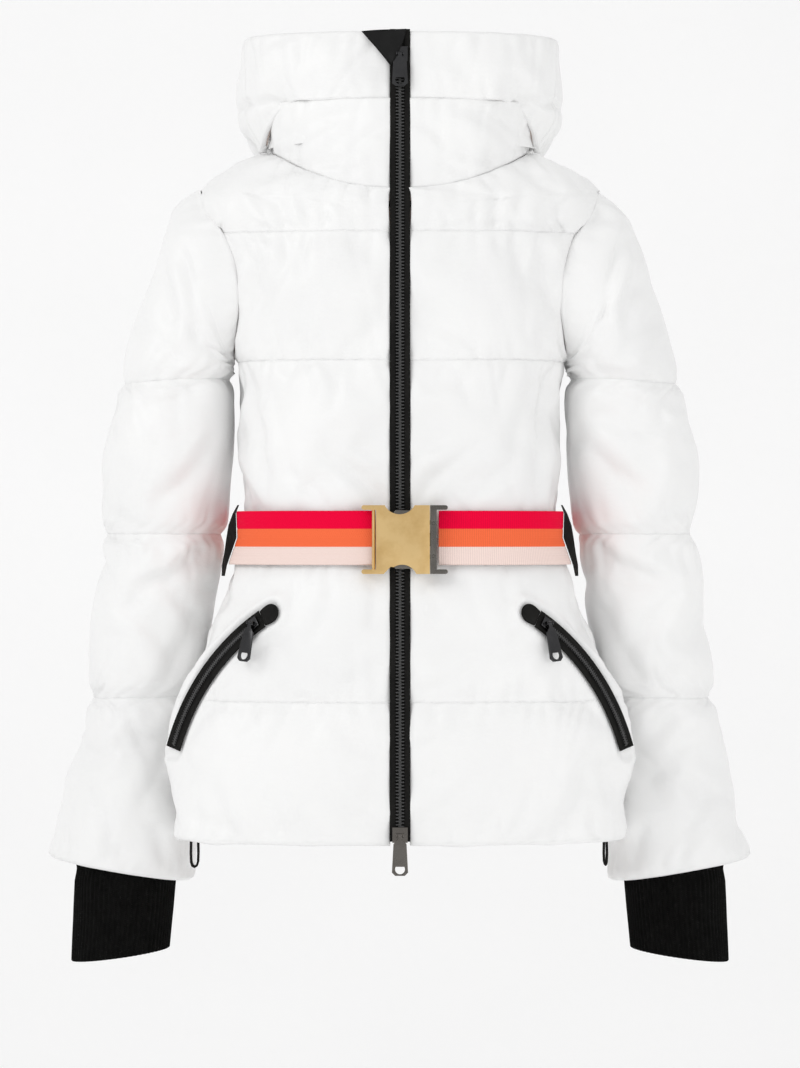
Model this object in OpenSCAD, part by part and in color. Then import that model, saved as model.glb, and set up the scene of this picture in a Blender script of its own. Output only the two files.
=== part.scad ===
// Quilted ski jacket with a funnel hood, a two-way front zip and a buckled elastic belt.
// Millimetres. +Z up, -Y to the front, +X to the wearer's left. Origin: hanger loop, inside back neck.

/* [Body] */
// Node to draw
// Height of the top edge of the funnel hood
top_z = 143; // [120:1:160]
// Height of the lower hem
hem_z = -606; // [-640:1:-560]
// Height of the seam between hood brim and collar
brim_z = 82; // [70:1:95]
// Height of the yoke seam
yoke_z = -42; // [-60:1:-30]
// Height of the chest seam
chest_z = -162; // [-180:1:-140]
// Height of the waist seam, under the middle of the belt
waist_z = -327; // [-340:1:-315]
// Height of the hip seam
hip_z = -478; // [-500:1:-450]
// Gap left at each seam
seam_gap = 1.2; // [0.6:0.1:3]
// How far a baffle swells out between its seams
puff = 6; // [0:0.5:12]
// Thickness of a baffle at its seams
wall = 6; // [3:0.5:10]
// Roundness of the torso section, 2 is an ellipse
round_n = 2.4; // [2:0.1:4]

/* [Front zip] */
// Front of the zip at the top edge, distance in front of the hanger loop
zip_y = -140; // [-160:1:-120]
// Forward lean of the zip line, degrees
zip_lean = 4.574; // [0:0.1:10]
// Half of the width of the zip gap between the fronts
zip_half = 10; // [8:0.5:14]
// Length of the tape
tape_len = 753; // [700:1:780]
// Distance from one tooth to the next
tooth_pitch = 3.1; // [2.5:0.1:4]
// Top slider, distance down from the top edge
top_slider_s = 21; // [15:1:60]
// Bottom slider, distance down from the top edge
bottom_slider_s = 744; // [700:1:748]
// Length of the top puller
top_puller_len = 31; // [20:1:45]
// Length of the bottom puller
bottom_puller_len = 37; // [20:1:50]

/* [Pockets] */
// Radius of the curved pocket zip
pocket_r = 213.4; // [180:1:260]
// Length of the pocket zip along its curve, degrees
pocket_sweep = 42; // [30:1:50]
// Half of the width of a pocket tape
pocket_w = 9; // [6:0.5:12]
// Tilt of the pocket tape about its own line, degrees
pocket_tilt = 12; // [-30:1:40]
// Length of a pocket puller
pocket_puller_len = 36; // [20:1:45]

/* [Belt and buckle] */
// Height of the elastic belt
belt_h = 50; // [30:1:60]
// Thickness of the elastic
belt_t = 2; // [1:0.2:4]
// Distance of the belt's inner face from the shell
belt_off = 4.6; // [3:0.2:8]
// Height of the buckle
buckle_h = 63; // [50:1:75]
// Thickness of the buckle
buckle_t = 8; // [6:0.5:12]
// Back face of the buckle
buckle_y = -186; // [-195:1:-175]
// Clearance of the plug in the socket
buckle_clear = 0.4; // [0.2:0.1:1]

/* [Sleeves and cuffs] */
// Half depth of the armhole, front to back
armhole_d = 58; // [45:1:70]
// Bottom of the armhole
armhole_z = -160; // [-180:1:-140]
// Half width of the knit cuff
cuff_r = 46; // [38:1:52]
// Length of the knit cuff below the sleeve
cuff_z = -728; // [-740:1:-700]

/* [Hidden] */
// Points round a half section, round a sleeve, and up a baffle
nu = 14;
ns = 20;
nv = 4;
// Torso half width, side line and back line against height
half_w = [[-606, 212], [-560, 209], [-530, 208], [-480, 200], [-423, 181], [-357, 156], [-327, 146],
          [-300, 147], [-245, 151], [-188, 150], [-132, 163], [-42, 186], [-20, 193], [0, 189]];
side_y = [[-606, -110], [-480, -98], [-327, -75], [-162, -60], [-42, -60]];
back_y = [[-606, 45], [-480, 48], [-420, 42], [-327, 18], [-260, 30], [-162, 46], [-42, 42]];
// Extra width of the belt over the hips, per mm down
belt_flare = 0.34;
slope = tan(zip_lean);
// Collar ring: half width, middle, half depth
ring_w = 122;
ring_y = -62;
// Sleeve sections from armhole to hem: outer x, z, inner x, z, middle y, half depth
arm = [[197.5, 0, 160.5, -160, -60, 56], [215, -22, 161, -163, -60, 60], [227, -60, 161, -166, -59, 62],
       [243, -108, 160, -169, -58, 62], [264, -182, 160, -171, -55, 60],
       [277, -244, 162, -244, -49, 63], [281, -324, 169, -324, -40, 58],
       [290, -395, 183, -400, -30, 62], [296, -481, 197, -478, -17, 58],
       [314, -555, 199, -560, -5, 64], [340, -631, 200, -655, 4, 68]];
// Curved pocket zip: centre and start of its arc, lift off the shell, and where its slider rests
pocket_c = [26.43, -224.33, -582.64];
pocket_p0 = [116.56, -171.16, -396.68];
pocket_lift = 6.5;
pocket_slider_a = 5.2;
pocket_turn = 50;

white = [0.93, 0.93, 0.92];
black = [0.05, 0.05, 0.06];
gunmetal = [0.36, 0.34, 0.32];

// ---- sections -------------------------------------------------------------------------------
function sgn_pow(v, e) = (v < 0 ? -1 : 1) * pow(abs(v), e);
function front_y(z) = zip_y - slope * (top_z - z);
function tw(z) = lookup(z, half_w);
function ty(z) = lookup(z, side_y);
// Point of the torso section at angle t (0 front, 180 back), height z, swollen by off
function torso(t, z, off) = let (w = tw(z) + off, c = ty(z),
    d = cos(t) > 0 ? c - front_y(z) + off : lookup(z, back_y) - c + off)
    [w * sgn_pow(sin(t), 2 / round_n), c - d * sgn_pow(cos(t), 2 / round_n), z];
// Angle at which the section passes x
function t_at_x(x, z, off) = asin(pow(x / (tw(z) + off), round_n / 2));
// Half depth of the armhole at height z
function arm_half(z) = let (m = (2 + armhole_z) / 2, h = (2 - armhole_z) / 2, k = 1 - pow((z - m) / h, 2))
    k > 0 ? armhole_d * sqrt(k) : 0;
// Angle at which the front (s = 1) or the back (s = -1) panel ends at the armhole or the side seam
function t_side(z, s) = let (d = s > 0 ? ty(z) - front_y(z) : lookup(z, back_y) - ty(z),
    g = max(arm_half(z) + 1.5, 1.0), a = acos(pow(min(g / d, 1), round_n / 2)))
    s > 0 ? a : 180 - a;
// Height and outline of the ring that the collar stands on
function collar_z(t) = cos(t) > 0 ? 37 - 39 * cos(t) * cos(t) : 37 - 22 * cos(t) * cos(t);
function ring(t, off) = [(ring_w + off) * sgn_pow(sin(t), 0.9),
    ring_y - (cos(t) > 0 ? ring_y - front_y(0) + off : 71 + off) * sgn_pow(cos(t), 0.9)];
function swell(u, v) = 4 * v * (1 - v) * (1 - pow(abs(2 * u - 1), 6));

// ---- closed skins -----------------------------------------------------------------------------
// Two grids of points (outer and inner, rows upwards, columns to the right seen from outside) closed
// by walls along their edges; ring = true joins the last column to the first.
module skin(outer, inner, ring = false) {
    rows = len(outer);
    cols = len(outer[0]);
    n = rows * cols;
    m = ring ? cols : cols - 1;
    pts = [for (g = [outer, inner]) for (r = g) for (p = r) p];
    quads = concat(
        [for (j = [0:rows - 2]) for (i = [0:m - 1]) let (k = (i + 1) % cols)
            [j * cols + i, j * cols + k, (j + 1) * cols + k, (j + 1) * cols + i]],
        [for (j = [0:rows - 2]) for (i = [0:m - 1]) let (k = (i + 1) % cols)
            [n + j * cols + k, n + j * cols + i, n + (j + 1) * cols + i, n + (j + 1) * cols + k]],
        [for (i = [0:m - 1]) let (k = (i + 1) % cols) [i, n + i, n + k, k]],
        [for (i = [0:m - 1]) let (k = (i + 1) % cols, b = (rows - 1) * cols) [b + k, n + b + k, n + b + i, b + i]],
        ring ? [] : [for (j = [0:rows - 2]) [(j + 1) * cols, n + (j + 1) * cols, n + j * cols, j * cols]],
        ring ? [] : [for (j = [0:rows - 2]) let (e = cols - 1)
            [j * cols + e, n + j * cols + e, n + (j + 1) * cols + e, (j + 1) * cols + e]]);
    polyhedron(points = pts, faces = [for (q = quads) each [[q[0], q[2], q[1]], [q[0], q[3], q[2]]]]);
}

// Front baffle of the left side between two heights
module front_baffle(z0, z1) {
    a = z0 + seam_gap / 2;
    b = z1 - seam_gap / 2;
    function zz(j) = a + (b - a) * j / nv;
    function tt(i, z, off) = let (s = t_at_x(zip_half, z, off)) s + (t_side(z, 1) - s) * i / nu;
    skin([for (j = [0:nv]) [for (i = [0:nu]) torso(tt(i, zz(j), 0), zz(j), puff * swell(i / nu, j / nv))]],
         [for (j = [0:nv]) [for (i = [0:nu]) torso(tt(i, zz(j), -wall), zz(j), -wall)]]);
}

// Back baffle from side to side
module back_baffle(z0, z1) {
    a = z0 + seam_gap / 2;
    b = z1 - seam_gap / 2;
    nb = 2 * nu;
    function zz(j) = a + (b - a) * j / nv;
    function tt(i, z) = let (s = t_side(z, -1)) s + (360 - 2 * s) * i / nb;
    skin([for (j = [0:nv]) [for (i = [0:nb]) torso(tt(i, zz(j)), zz(j), puff * swell(i / nb, j / nv))]],
         [for (j = [0:nv]) [for (i = [0:nb]) torso(tt(i, zz(j)), zz(j), -wall)]]);
}

// Yoke surface: from the yoke seam (v = 0) over the shoulder to the collar (v = 1)
function yoke_pt(t, v, off) = let (p = torso(t, yoke_z, off), r = ring(t, 1), q = [r[0], r[1], collar_z(t)],
    lift = 6 + 24 * pow(sin(t), 2),
    c = [p[0] * (1 + 0.19 * pow(abs(sin(t)), 3)), p[1], q[2] - lift + off],
    k = 1 - v)
    k * k * p + 2 * v * k * c + v * v * q + [0, 0, off * v * 0.9];
function yoke_side(v, s) = let (z = yoke_pt(90, v, 0)[2], g = arm_half(z) * (v < 0.5 ? 1 : 0) + 1.5,
    d = s > 0 ? (1 - v * v) * (ty(yoke_z) - front_y(yoke_z)) + v * v * (ring_y - front_y(0))
              : (1 - v * v) * (lookup(yoke_z, back_y) - ty(yoke_z)) + v * v * 71,
    a = acos(pow(g / d, 1.2))) s > 0 ? a : 180 - a;

module front_yoke() {
    v0 = 0.008;
    v1 = 0.985;
    function vv(j) = v0 + (v1 - v0) * j / (nv + 2);
    function tt(i, v) = let (s = t_at_x(zip_half, yoke_z, 0) + v * 1.1) s + (yoke_side(v, 1) - s) * i / nu;
    skin([for (j = [0:nv + 2]) [for (i = [0:nu]) yoke_pt(tt(i, vv(j)), vv(j), puff * swell(i / nu, j / (nv + 2)))]],
         [for (j = [0:nv + 2]) [for (i = [0:nu]) yoke_pt(tt(i, vv(j)), vv(j), -wall)]]);
}

module back_yoke() {
    nb = 2 * nu;
    v0 = 0.008;
    v1 = 0.985;
    function vv(j) = v0 + (v1 - v0) * j / (nv + 2);
    function tt(i, v) = let (s = yoke_side(v, -1)) s + (360 - 2 * s) * i / nb;
    skin([for (j = [0:nv + 2]) [for (i = [0:nb]) yoke_pt(tt(i, vv(j)), vv(j), puff * swell(i / nb, j / (nv + 2)))]],
         [for (j = [0:nv + 2]) [for (i = [0:nb]) yoke_pt(tt(i, vv(j)), vv(j), -wall)]]);
}

// Lining: one thin layer behind the baffles, from hem to yoke seam
module lining(s) {
    d0 = wall + 2.6;
    d1 = d0 + 1;
    cols = s > 0 ? nu : 2 * nu;
    levels = [hem_z, hip_z, waist_z, chest_z, yoke_z];
    rows = 4 * nv - 1;
    // Same heights as the rows of the baffles, without the lowest
    function zz(j) = let (k = floor((j + 1) / nv), i = (j + 1) % nv)
        k > 3 ? yoke_z : levels[k] + (levels[k + 1] - levels[k]) * i / nv;
    function tt(i, z) = s > 0
        ? let (q = t_at_x(zip_half, z, -wall)) q + (t_side(z, 1) - q) * i / cols
        : let (q = t_side(z, -1)) q + (360 - 2 * q) * i / cols;
    skin([for (j = [0:rows]) [for (i = [0:cols]) torso(tt(i, zz(j)), zz(j), -d0)]],
         [for (j = [0:rows]) [for (i = [0:cols]) torso(tt(i, zz(j)), zz(j), -d1)]]);
}

// ---- collar and hood ----------------------------------------------------------------------------
module collar_half() {
    t0 = asin(zip_half / ring_w) * 1.05;
    t1 = 179;
    rows = 4;
    cols = 20;
    function tt(i) = t0 + (t1 - t0) * i / cols;
    function zz(i, j) = let (b = collar_z(tt(i)) + 1) b + (brim_z - 0.6 - b) * j / rows;
    function at(i, j, off) = let (r = ring(tt(i), off + 3 * j / rows), s = zz(i, j))
        [i == 0 ? zip_half : r[0], r[1] + slope * s * max(0, cos(tt(i))), s];
    skin([for (j = [0:rows]) [for (i = [0:cols]) at(i, j, 4 * swell(i / cols, j / rows))]],
         [for (j = [0:rows]) [for (i = [0:cols]) at(i, j, -wall - 1)]]);
}

// Half width and lower edge of the hood round the collar
function hood_low(t) = t < 38 ? brim_z + 0.6 : t < 80 ? brim_z + 0.6 - 44 * (1 - cos((t - 38) * 90 / 42)) : brim_z - 43.4;
function hood_ring(t, off) = [(149 + off) * sgn_pow(sin(t), 0.85),
    ring_y - (cos(t) > 0 ? ring_y - front_y(112) + off : 108 + off) * sgn_pow(cos(t), 0.85)];
module brim_half() {
    t0 = asin(pow(zip_half / 149, 1 / 0.85));
    t1 = 78;
    rows = 4;
    cols = 12;
    function tt(i) = t0 + (t1 - t0) * i / cols;
    function at(i, j, off) = let (r = hood_ring(tt(i), off), b = hood_low(tt(i)), s = b + (top_z - b) * j / rows)
        [i == 0 ? zip_half : r[0], r[1] + slope * (s - 112) * cos(tt(i)), s];
    skin([for (j = [0:rows]) [for (i = [0:cols]) at(i, j, 4 * swell(i / cols, j / rows))]],
         [for (j = [0:rows]) [for (i = [0:cols]) at(i, j, -wall - 2)]]);
}

// Half of the hood bag behind the neck, up to its seam at the back: it droops from its seam at the neck,
// swells back and closes in to its top rim
module hood_half() {
    t0 = 79.5;
    t1 = 179.8;
    rows = 9;
    cols = 14;
    function tt(i) = t0 + (t1 - t0) * i / cols;
    function back(t) = max(0, -cos(t));
    function at(i, j, off) = let (t = tt(i), v = j / rows, k = back(t), b = hood_low(t) - 16 * k,
        out = k * (34 * pow(sin(180 * pow(v, 0.75)), 0.8) - 56 * pow(1 - v, 4)),
        r = hood_ring(t, off + out))
        [r[0], r[1], b + (top_z - b) * v - 30 * k * sin(180 * min(1, 1.6 * v)) * (v < 0.625 ? 1 : 0)];
    skin([for (j = [0:rows]) [for (i = [0:cols]) at(i, j, 4 * swell(i / cols, j / rows))]],
         [for (j = [0:rows]) [for (i = [0:cols]) at(i, j, -wall - 2)]]);
}

// ---- sleeves --------------------------------------------------------------------------------------
function arm_pt(r, f, off) = let (o = [r[0], 0, r[1]], i = [r[2], 0, r[3]], c = (o + i) / 2, a = (o - i) / 2,
    k = norm(a)) c + a * ((k + off) / k) * cos(f) + [0, r[4] + (r[5] + off) * sin(f), 0];
function mix(a, b, k) = a + (b - a) * k;
// Section at the armhole: lies on the side of the torso
function armhole_pt(f, off) = let (h = (2 - armhole_z) / 2 + off, z = (2 + armhole_z) / 2 + h * cos(f),
    y = (armhole_d + off) * sin(f), zc = max(-170, min(0, z)), c = ty(zc),
    d = y < 0 ? c - front_y(zc) : lookup(zc, back_y) - c)
    [tw(zc) * pow(1 - pow(min(0.97, abs(y) / d), round_n), 1 / round_n) + 2.5, c + y, z];
// Section at a fractional place between rows of the table
function arm_at(q) = let (i = min(floor(q), len(arm) - 2)) mix(arm[i], arm[i + 1], q - i);

// Sleeve baffle between two places of the table, q0 above q1
module sleeve_baffle(q0, q1, rows) {
    lo = q1 - 0.012 * (q1 < 10 ? 1 : 0);
    hi = q0 + (q0 > 0 ? 0.012 : 0);
    function qq(j) = lo + (hi - lo) * j / rows;
    function f(i) = 360 * i / ns;
    function at(q, g, off) = let (k = max(0, min(1, 1 - q)))
        k > 0 ? mix(arm_pt(arm_at(q), g, off), armhole_pt(g, off), k) : arm_pt(arm_at(q), g, off);
    skin([for (j = [0:rows]) [for (i = [0:ns - 1]) at(qq(j), f(i), 4 * swell(0.5, j / rows))]],
         [for (j = [0:rows]) [for (i = [0:ns - 1]) at(qq(j), f(i), -wall - 1)]], ring = true);
}

cuff = [[263, -612, 54, 49, 0], [262, -640, 50, 47, 0], [265, -652, 49, 46, 0], [270, cuff_z, cuff_r + 1, cuff_r - 3, -3]];
module knit_cuff() {
    function at(j, i, off) = let (c = cuff[3 - j], f = 360 * i / ns)
        [c[0] + (c[2] + off) * cos(f), c[4] + (c[3] + off) * sin(f), c[1] + (j < 3 ? -7 * cos(f) * 0.9 : 0)];
    skin([for (j = [0:3]) [for (i = [0:ns - 1]) at(j, i, 0)]],
         [for (j = [0:3]) [for (i = [0:ns - 1]) at(j, i, -3)]], ring = true);
}

// ---- front zip --------------------------------------------------------------------------------------
// Frame of the zip: origin on the zip line, s down from the top edge
module on_zip(s) translate([0, zip_y, top_z]) rotate([-zip_lean, 0, 0]) translate([0, 0, -s]) children();

module zip_tape() on_zip(tape_len - 3) translate([4.3, -0.4, 0]) cube([zip_half - 4.9, 0.8, tape_len]);

// One row of teeth as a comb; odd = 1 moves it half a pitch
module teeth_comb(s0, s1, odd) {
    n = floor((s1 - s0) / tooth_pitch) - 1;
    h = tooth_pitch * 0.4;
    // outline in (x, s) with the teeth pointing to -x
    pts = concat([[4.05, 0], [4.05, s1 - s0]], [[1.5, s1 - s0]],
        [for (k = [n:-1:0]) let (c = (k + 0.5 + odd / 2) * tooth_pitch)
            each [[1.5, c + h / 2], [-1.1, c + h / 2 - 0.1], [-1.1, c - h / 2 + 0.1], [1.5, c - h / 2]]], [[1.5, 0]]);
    on_zip(s0) rotate([-90, 0, 0]) translate([0, 0, -1.7]) linear_extrude(3.4) polygon(pts);
}

// Slider body: two plates with inturned edges, a wedge at one end and a pinned lug at the front
module slider(w, l, wedge, turn = 0, gap = 2.2, plate = 1.9) {
    for (y = [-gap - plate, gap]) translate([-w, y, -l / 2]) cube([2 * w, plate, l]);
    for (x = [-w, w - 1.2], y = [-gap - 0.1, 0.9]) translate([x, y, -l / 2]) cube([1.2, gap - 0.8, l]);
    translate([-1.5, -gap - 0.1, wedge > 0 ? l / 2 - 3.2 : -l / 2]) cube([3, 2 * gap + 0.2, 3.2]);
    rotate([0, turn, 0]) {
        for (x = [-3.6, 2.4]) {
            translate([x, pin_y, 0]) rotate([0, 90, 0]) cylinder(r = 1.9, h = 1.2, $fn = 32);
            translate([x, pin_y, -1.9]) cube([1.2, -gap - 0.3 - pin_y, 3.8]);
        }
        translate([-3, pin_y, 0]) rotate([0, 90, 0]) cylinder(r = 0.9, h = 6, $fn = 32);
    }
}
pin_y = -6.3;

// Puller hanging from the lug's pin: knuckle with a bore, neck, and a plate with a D-shaped hole
module puller(l, w1, w2) {
    translate([0, pin_y, 0]) {
        difference() {
            union() {
                translate([-1.9, 0, 0]) rotate([0, 90, 0]) cylinder(r = 1.8, h = 3.8, $fn = 32);
                translate([-1.9, -1, -5.5]) cube([3.8, 2, 5]);
                rotate([90, 0, 0]) translate([0, 0, -1]) linear_extrude(2) difference() {
                    polygon([[-2.2, -4.2], [-w1 / 2, -8], [-w2 / 2, -l + 3], [-w2 / 2 + 3, -l], [w2 / 2 - 3, -l],
                        [w2 / 2, -l + 3], [w1 / 2, -8], [2.2, -4.2]]);
                    translate([0, -l + 6]) intersection() {
                        circle(r = w2 * 0.3, $fn = 40);
                        translate([-w2, -w2 * 0.3]) square([2 * w2, w2 * 0.45]);
                    }
                }
            }
            translate([-3, 0, 0]) rotate([0, 90, 0]) cylinder(r = 0.95, h = 6, $fn = 32);
        }
    }
}

// Inner facing turned out at the top, to the wearer's right of the zip
module zip_facing_strip() on_zip(0) translate([0, -4.8, 0]) rotate([90, 0, 0]) linear_extrude(1)
    polygon([[-36, 0], [-35, 1.5], [6, 2.8], [5, -8], [-7.6, -9], [-8.4, -30], [-12, -28]]);

// ---- pockets ------------------------------------------------------------------------------------------
// Frame on the curved pocket zip: x across and up, y along the zip, z into the body
function unit(v) = v / norm(v);
pocket_axis = unit([-0.4543, 0.8902, -0.0343]);
pocket_e2 = unit(cross(pocket_axis, pocket_p0 - pocket_c));
pocket_e1 = cross(pocket_e2, pocket_axis);
module pocket_frame() let (o = pocket_c - pocket_axis * pocket_lift) multmatrix([
    [pocket_e1[0], pocket_e2[0], pocket_axis[0], o[0]], [pocket_e1[1], pocket_e2[1], pocket_axis[1], o[1]],
    [pocket_e1[2], pocket_e2[2], pocket_axis[2], o[2]], [0, 0, 0, 1]]) children();
module on_pocket(a) pocket_frame() rotate([0, 0, a]) translate([pocket_r, 0, 0]) rotate([0, -pocket_tilt, 0])
    rotate([90, 0, 0]) children();

// Tapes and teeth of a pocket zip in one curved band; the teeth start behind the slider's wedge
module pocket_zip() pocket_frame() {
    rotate([0, 0, 2.5]) rotate_extrude(angle = pocket_sweep, $fn = 240)
        translate([pocket_r, 0]) rotate(pocket_tilt) for (x = [-pocket_w, 1.8]) translate([x, -0.4]) square([pocket_w - 1.8, 0.8]);
    rotate([0, 0, 4.7]) rotate_extrude(angle = pocket_sweep - 2.2, $fn = 240)
        translate([pocket_r, 0]) rotate(pocket_tilt) translate([-2.6, -1.5]) square([5.2, 3]);
}
module pocket_slider() on_pocket(pocket_slider_a) slider(5, 11, 1, pocket_turn, 1.9, 1.4);
module pocket_puller() on_pocket(pocket_slider_a) rotate([0, pocket_turn, 0]) puller(pocket_puller_len, 10.5, 14);
module pocket_patch() on_pocket(0) rotate([90, 0, 0]) translate([0, 0, -0.8]) linear_extrude(1.6) union() {
    circle(r = pocket_w, $fn = 64);
    translate([-pocket_w, -8.8]) square([2 * pocket_w, 8.8]);
}

// ---- belt and buckle ------------------------------------------------------------------------------------
module belt() {
    cols = 44;
    zs = [waist_z - belt_h / 2, waist_z, waist_z + belt_h / 2];
    // The belt starts behind the plug (+X) and ends behind the socket (-X)
    t0 = t_at_x(35, waist_z, belt_off);
    t1 = 360 - t_at_x(24, waist_z, belt_off);
    function tt(i) = t0 + (t1 - t0) * i / cols;
    function at(i, z, o) = let (t = tt(i), h = waist_z - z, f = cos(t) > 0 ? 0.02 + 0.32 * pow(abs(sin(t)), 1.4) : belt_flare,
        up = 0.04 + 0.22 * max(0, -cos(t)), p = torso(t, waist_z, o + (h > 0 ? h * f : -h * up))) [p[0], p[1] - h * slope * max(0, cos(t)), z];
    skin([for (z = zs) [for (i = [0:cols]) at(i, z, belt_off + belt_t)]],
         [for (z = zs) [for (i = [0:cols]) at(i, z, belt_off)]]);
}

// Webbing loop over the belt at the side, turned to the front: height, inner and outer edge of each row
loop_rows = [[-363, 165, 168.5], [-353, 163, 168.2], [-341, 158.9, 166], [-327, 154, 164], [-315, 154.2, 162],
             [-304, 154.6, 158], [-296, 151.5, 153.5]];
module belt_loop() skin([for (r = loop_rows) [[r[1], -94, r[0]], [r[2], -84, r[0]]]],
    [for (r = loop_rows) [[r[1], -92.4, r[0]], [r[2], -82.4, r[0]]]]);

// Buckle frame: x along the belt, y to the front, z up from the middle of the buckle
module on_buckle() translate([0, buckle_y, waist_z - 1.5]) rotate([90, 0, 0]) children();
mouth_x = 27.3;
prong_x = 30.7;
prong_z = 15;
arm_h = 4.2;

// Socket: a waisted plate with two arms and a round bar for the elastic on its left
module socket_body() on_buckle() {
    difference() {
        linear_extrude(buckle_t) difference() {
            translate([-22, -buckle_h / 2]) square([22 + mouth_x, buckle_h]);
            translate([-0.3, buckle_h / 2 + 7.3]) circle(r = 15.6, $fn = 72);
            polygon([[-12.9, buckle_h / 2 + 1], [-12.9, buckle_h / 2], [-9.4, 25.9], [8.5, 26.2], [13, buckle_h / 2],
                [13, buckle_h / 2 + 1]]);
            translate([2, -buckle_h / 2 - 5.5]) circle(r = 14, $fn = 72);
            polygon([[-15, -buckle_h / 2 - 1], [-15, -buckle_h / 2], [-8.5, -24.9], [5, -27], [13, -buckle_h / 2],
                [13, -buckle_h / 2 - 1]]);
        }
        // Cavity for the plug: wide inside, narrower at its mouth
        translate([-10, -27.5, 1.8]) cube([26, 55, buckle_t - 3.6]);
        translate([10, -22.5, 1.8]) cube([mouth_x, 45, buckle_t - 3.6]);
    }
    for (z = [-buckle_h / 2, buckle_h / 2 - arm_h]) translate([-33.2, z, 0]) cube([12, arm_h, buckle_t]);
    for (z = [-1, 1]) translate([-33.2, z * (buckle_h - arm_h) / 2, 0]) cylinder(r = arm_h / 2, h = buckle_t, $fn = 32);
    translate([-24.2, buckle_h / 2 - 1, buckle_t / 2]) rotate([90, 0, 0]) cylinder(r = 1.6, h = buckle_h - 2, $fn = 32);
}

// Plug: a bar with two arms, a round bar for the elastic and a tongue
module plug_body() on_buckle() {
    x0 = mouth_x + buckle_clear;
    difference() {
        translate([x0, -buckle_h / 2, 0]) cube([6, buckle_h, buckle_t]);
        for (s = [-1, 1]) {
            translate([x0 - 1, s * prong_z - 4, 1.8]) cube([8, 8, buckle_t - 3.6]);
            translate([prong_x, s * prong_z, -1]) cylinder(r = 1.55, h = buckle_t + 2, $fn = 32);
        }
    }
    for (z = [-buckle_h / 2, buckle_h / 2 - arm_h]) translate([x0 + 5, z, 0]) cube([9, arm_h, buckle_t]);
    for (z = [-1, 1]) translate([x0 + 14, z * (buckle_h - arm_h) / 2, 0])
        cylinder(r = arm_h / 2, h = buckle_t, $fn = 32);
    translate([-6, -6, 1.8 + buckle_clear]) cube([x0 + 7, 12, buckle_t - 3.6 - 2 * buckle_clear]);
}

// Spring prong: a pinned root, an arm and a hook that shows in the notch
module prong(s) on_buckle() mirror([0, s < 0 ? 1 : 0, 0]) {
    translate([0, 0, 1.8 + buckle_clear]) linear_extrude(buckle_t - 3.6 - 2 * buckle_clear) union() {
        translate([prong_x, prong_z]) circle(r = 2.5, $fn = 32);
        polygon([[prong_x, prong_z - 2], [prong_x, prong_z + 2], [14, 20.6], [11, 26.6], [-4, 27], [-6, 24.5],
            [-6, 21.5], [4, 19], [16, 15.5]]);
    }
    translate([prong_x, prong_z, 0.4]) cylinder(r = 1.5, h = buckle_t - 0.8, $fn = 32);
}

// Folded strap tab behind the hem
module hem_tab() translate([188.5, -142.5, hem_z - 26]) cube([5, 11, 33]);

// Loop whose crown, where a hook bears, is at the origin
module hanger() translate([0, 0, -10.4]) rotate([90, 0, 0]) rotate_extrude(angle = 180, $fn = 48)
    translate([12, 0]) circle(r = 1.6, $fn = 16);

// ---- assembly ---------------------------------------------------------------------------------------------
module flip() mirror([1, 0, 0]) children();

module yoke_left() color(white) front_yoke();
module yoke_right() color(white) flip() front_yoke();
module yoke_back() color(white) back_yoke();
module chest_left() color(white) front_baffle(chest_z, yoke_z);
module chest_right() color(white) flip() front_baffle(chest_z, yoke_z);
module chest_back() color(white) back_baffle(chest_z, yoke_z);
module midriff_left() color(white) front_baffle(waist_z, chest_z);
module midriff_right() color(white) flip() front_baffle(waist_z, chest_z);
module midriff_back() color(white) back_baffle(waist_z, chest_z);
module hip_left() color(white) front_baffle(hip_z, waist_z);
module hip_right() color(white) flip() front_baffle(hip_z, waist_z);
module hip_back() color(white) back_baffle(hip_z, waist_z);
module hem_left() color(white) front_baffle(hem_z, hip_z);
module hem_right() color(white) flip() front_baffle(hem_z, hip_z);
module hem_back() color(white) back_baffle(hem_z, hip_z);
module lining_left() color([0.85, 0.8, 0.76]) lining(1);
module lining_right() color([0.85, 0.8, 0.76]) flip() lining(1);
module lining_back() color([0.85, 0.8, 0.76]) lining(-1);
module collar_left() color(white) collar_half();
module collar_right() color(white) flip() collar_half();
module brim_left() color(white) brim_half();
module brim_right() color(white) flip() brim_half();
module hood_left() color(white) hood_half();
module hood_right() color(white) flip() hood_half();
module sleeve_head_left() color(white) sleeve_baffle(0, 4, 6);
module sleeve_upper_left() color(white) sleeve_baffle(4, 6, 4);
module sleeve_lower_left() color(white) sleeve_baffle(6, 8, 4);
module sleeve_end_left() color(white) sleeve_baffle(8, 10, 4);
module cuff_left() color(black) knit_cuff();
module sleeve_head_right() flip() sleeve_head_left();
module sleeve_upper_right() flip() sleeve_upper_left();
module sleeve_lower_right() flip() sleeve_lower_left();
module sleeve_end_right() flip() sleeve_end_left();
module cuff_right() flip() cuff_left();
module zip_tape_left() color(black) zip_tape();
module zip_tape_right() color(black) flip() zip_tape();
module zip_teeth_left() color(black) teeth_comb(top_slider_s - 3, bottom_slider_s + 3, 0);
module zip_teeth_right() color(black) flip() teeth_comb(top_slider_s - 3, bottom_slider_s + 3, 1);
module zip_facing() color(black) zip_facing_strip();
module top_slider() color(black) on_zip(top_slider_s) slider(7, 14, 1);
module top_puller() color(black) on_zip(top_slider_s) puller(top_puller_len, 12.5, 14.5);
module bottom_slider() color(gunmetal) on_zip(bottom_slider_s) slider(7, 14, -1);
module bottom_puller() color(gunmetal) on_zip(bottom_slider_s) puller(bottom_puller_len, 12, 14.8);
module elastic_belt() color([0.98, 0.35, 0.3]) belt();
module hanger_loop() color(black) hanger();
module pocket_zip_left() color(black) pocket_zip();
module pocket_zip_right() color(black) flip() pocket_zip();
module pocket_slider_left() color(black) pocket_slider();
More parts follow.
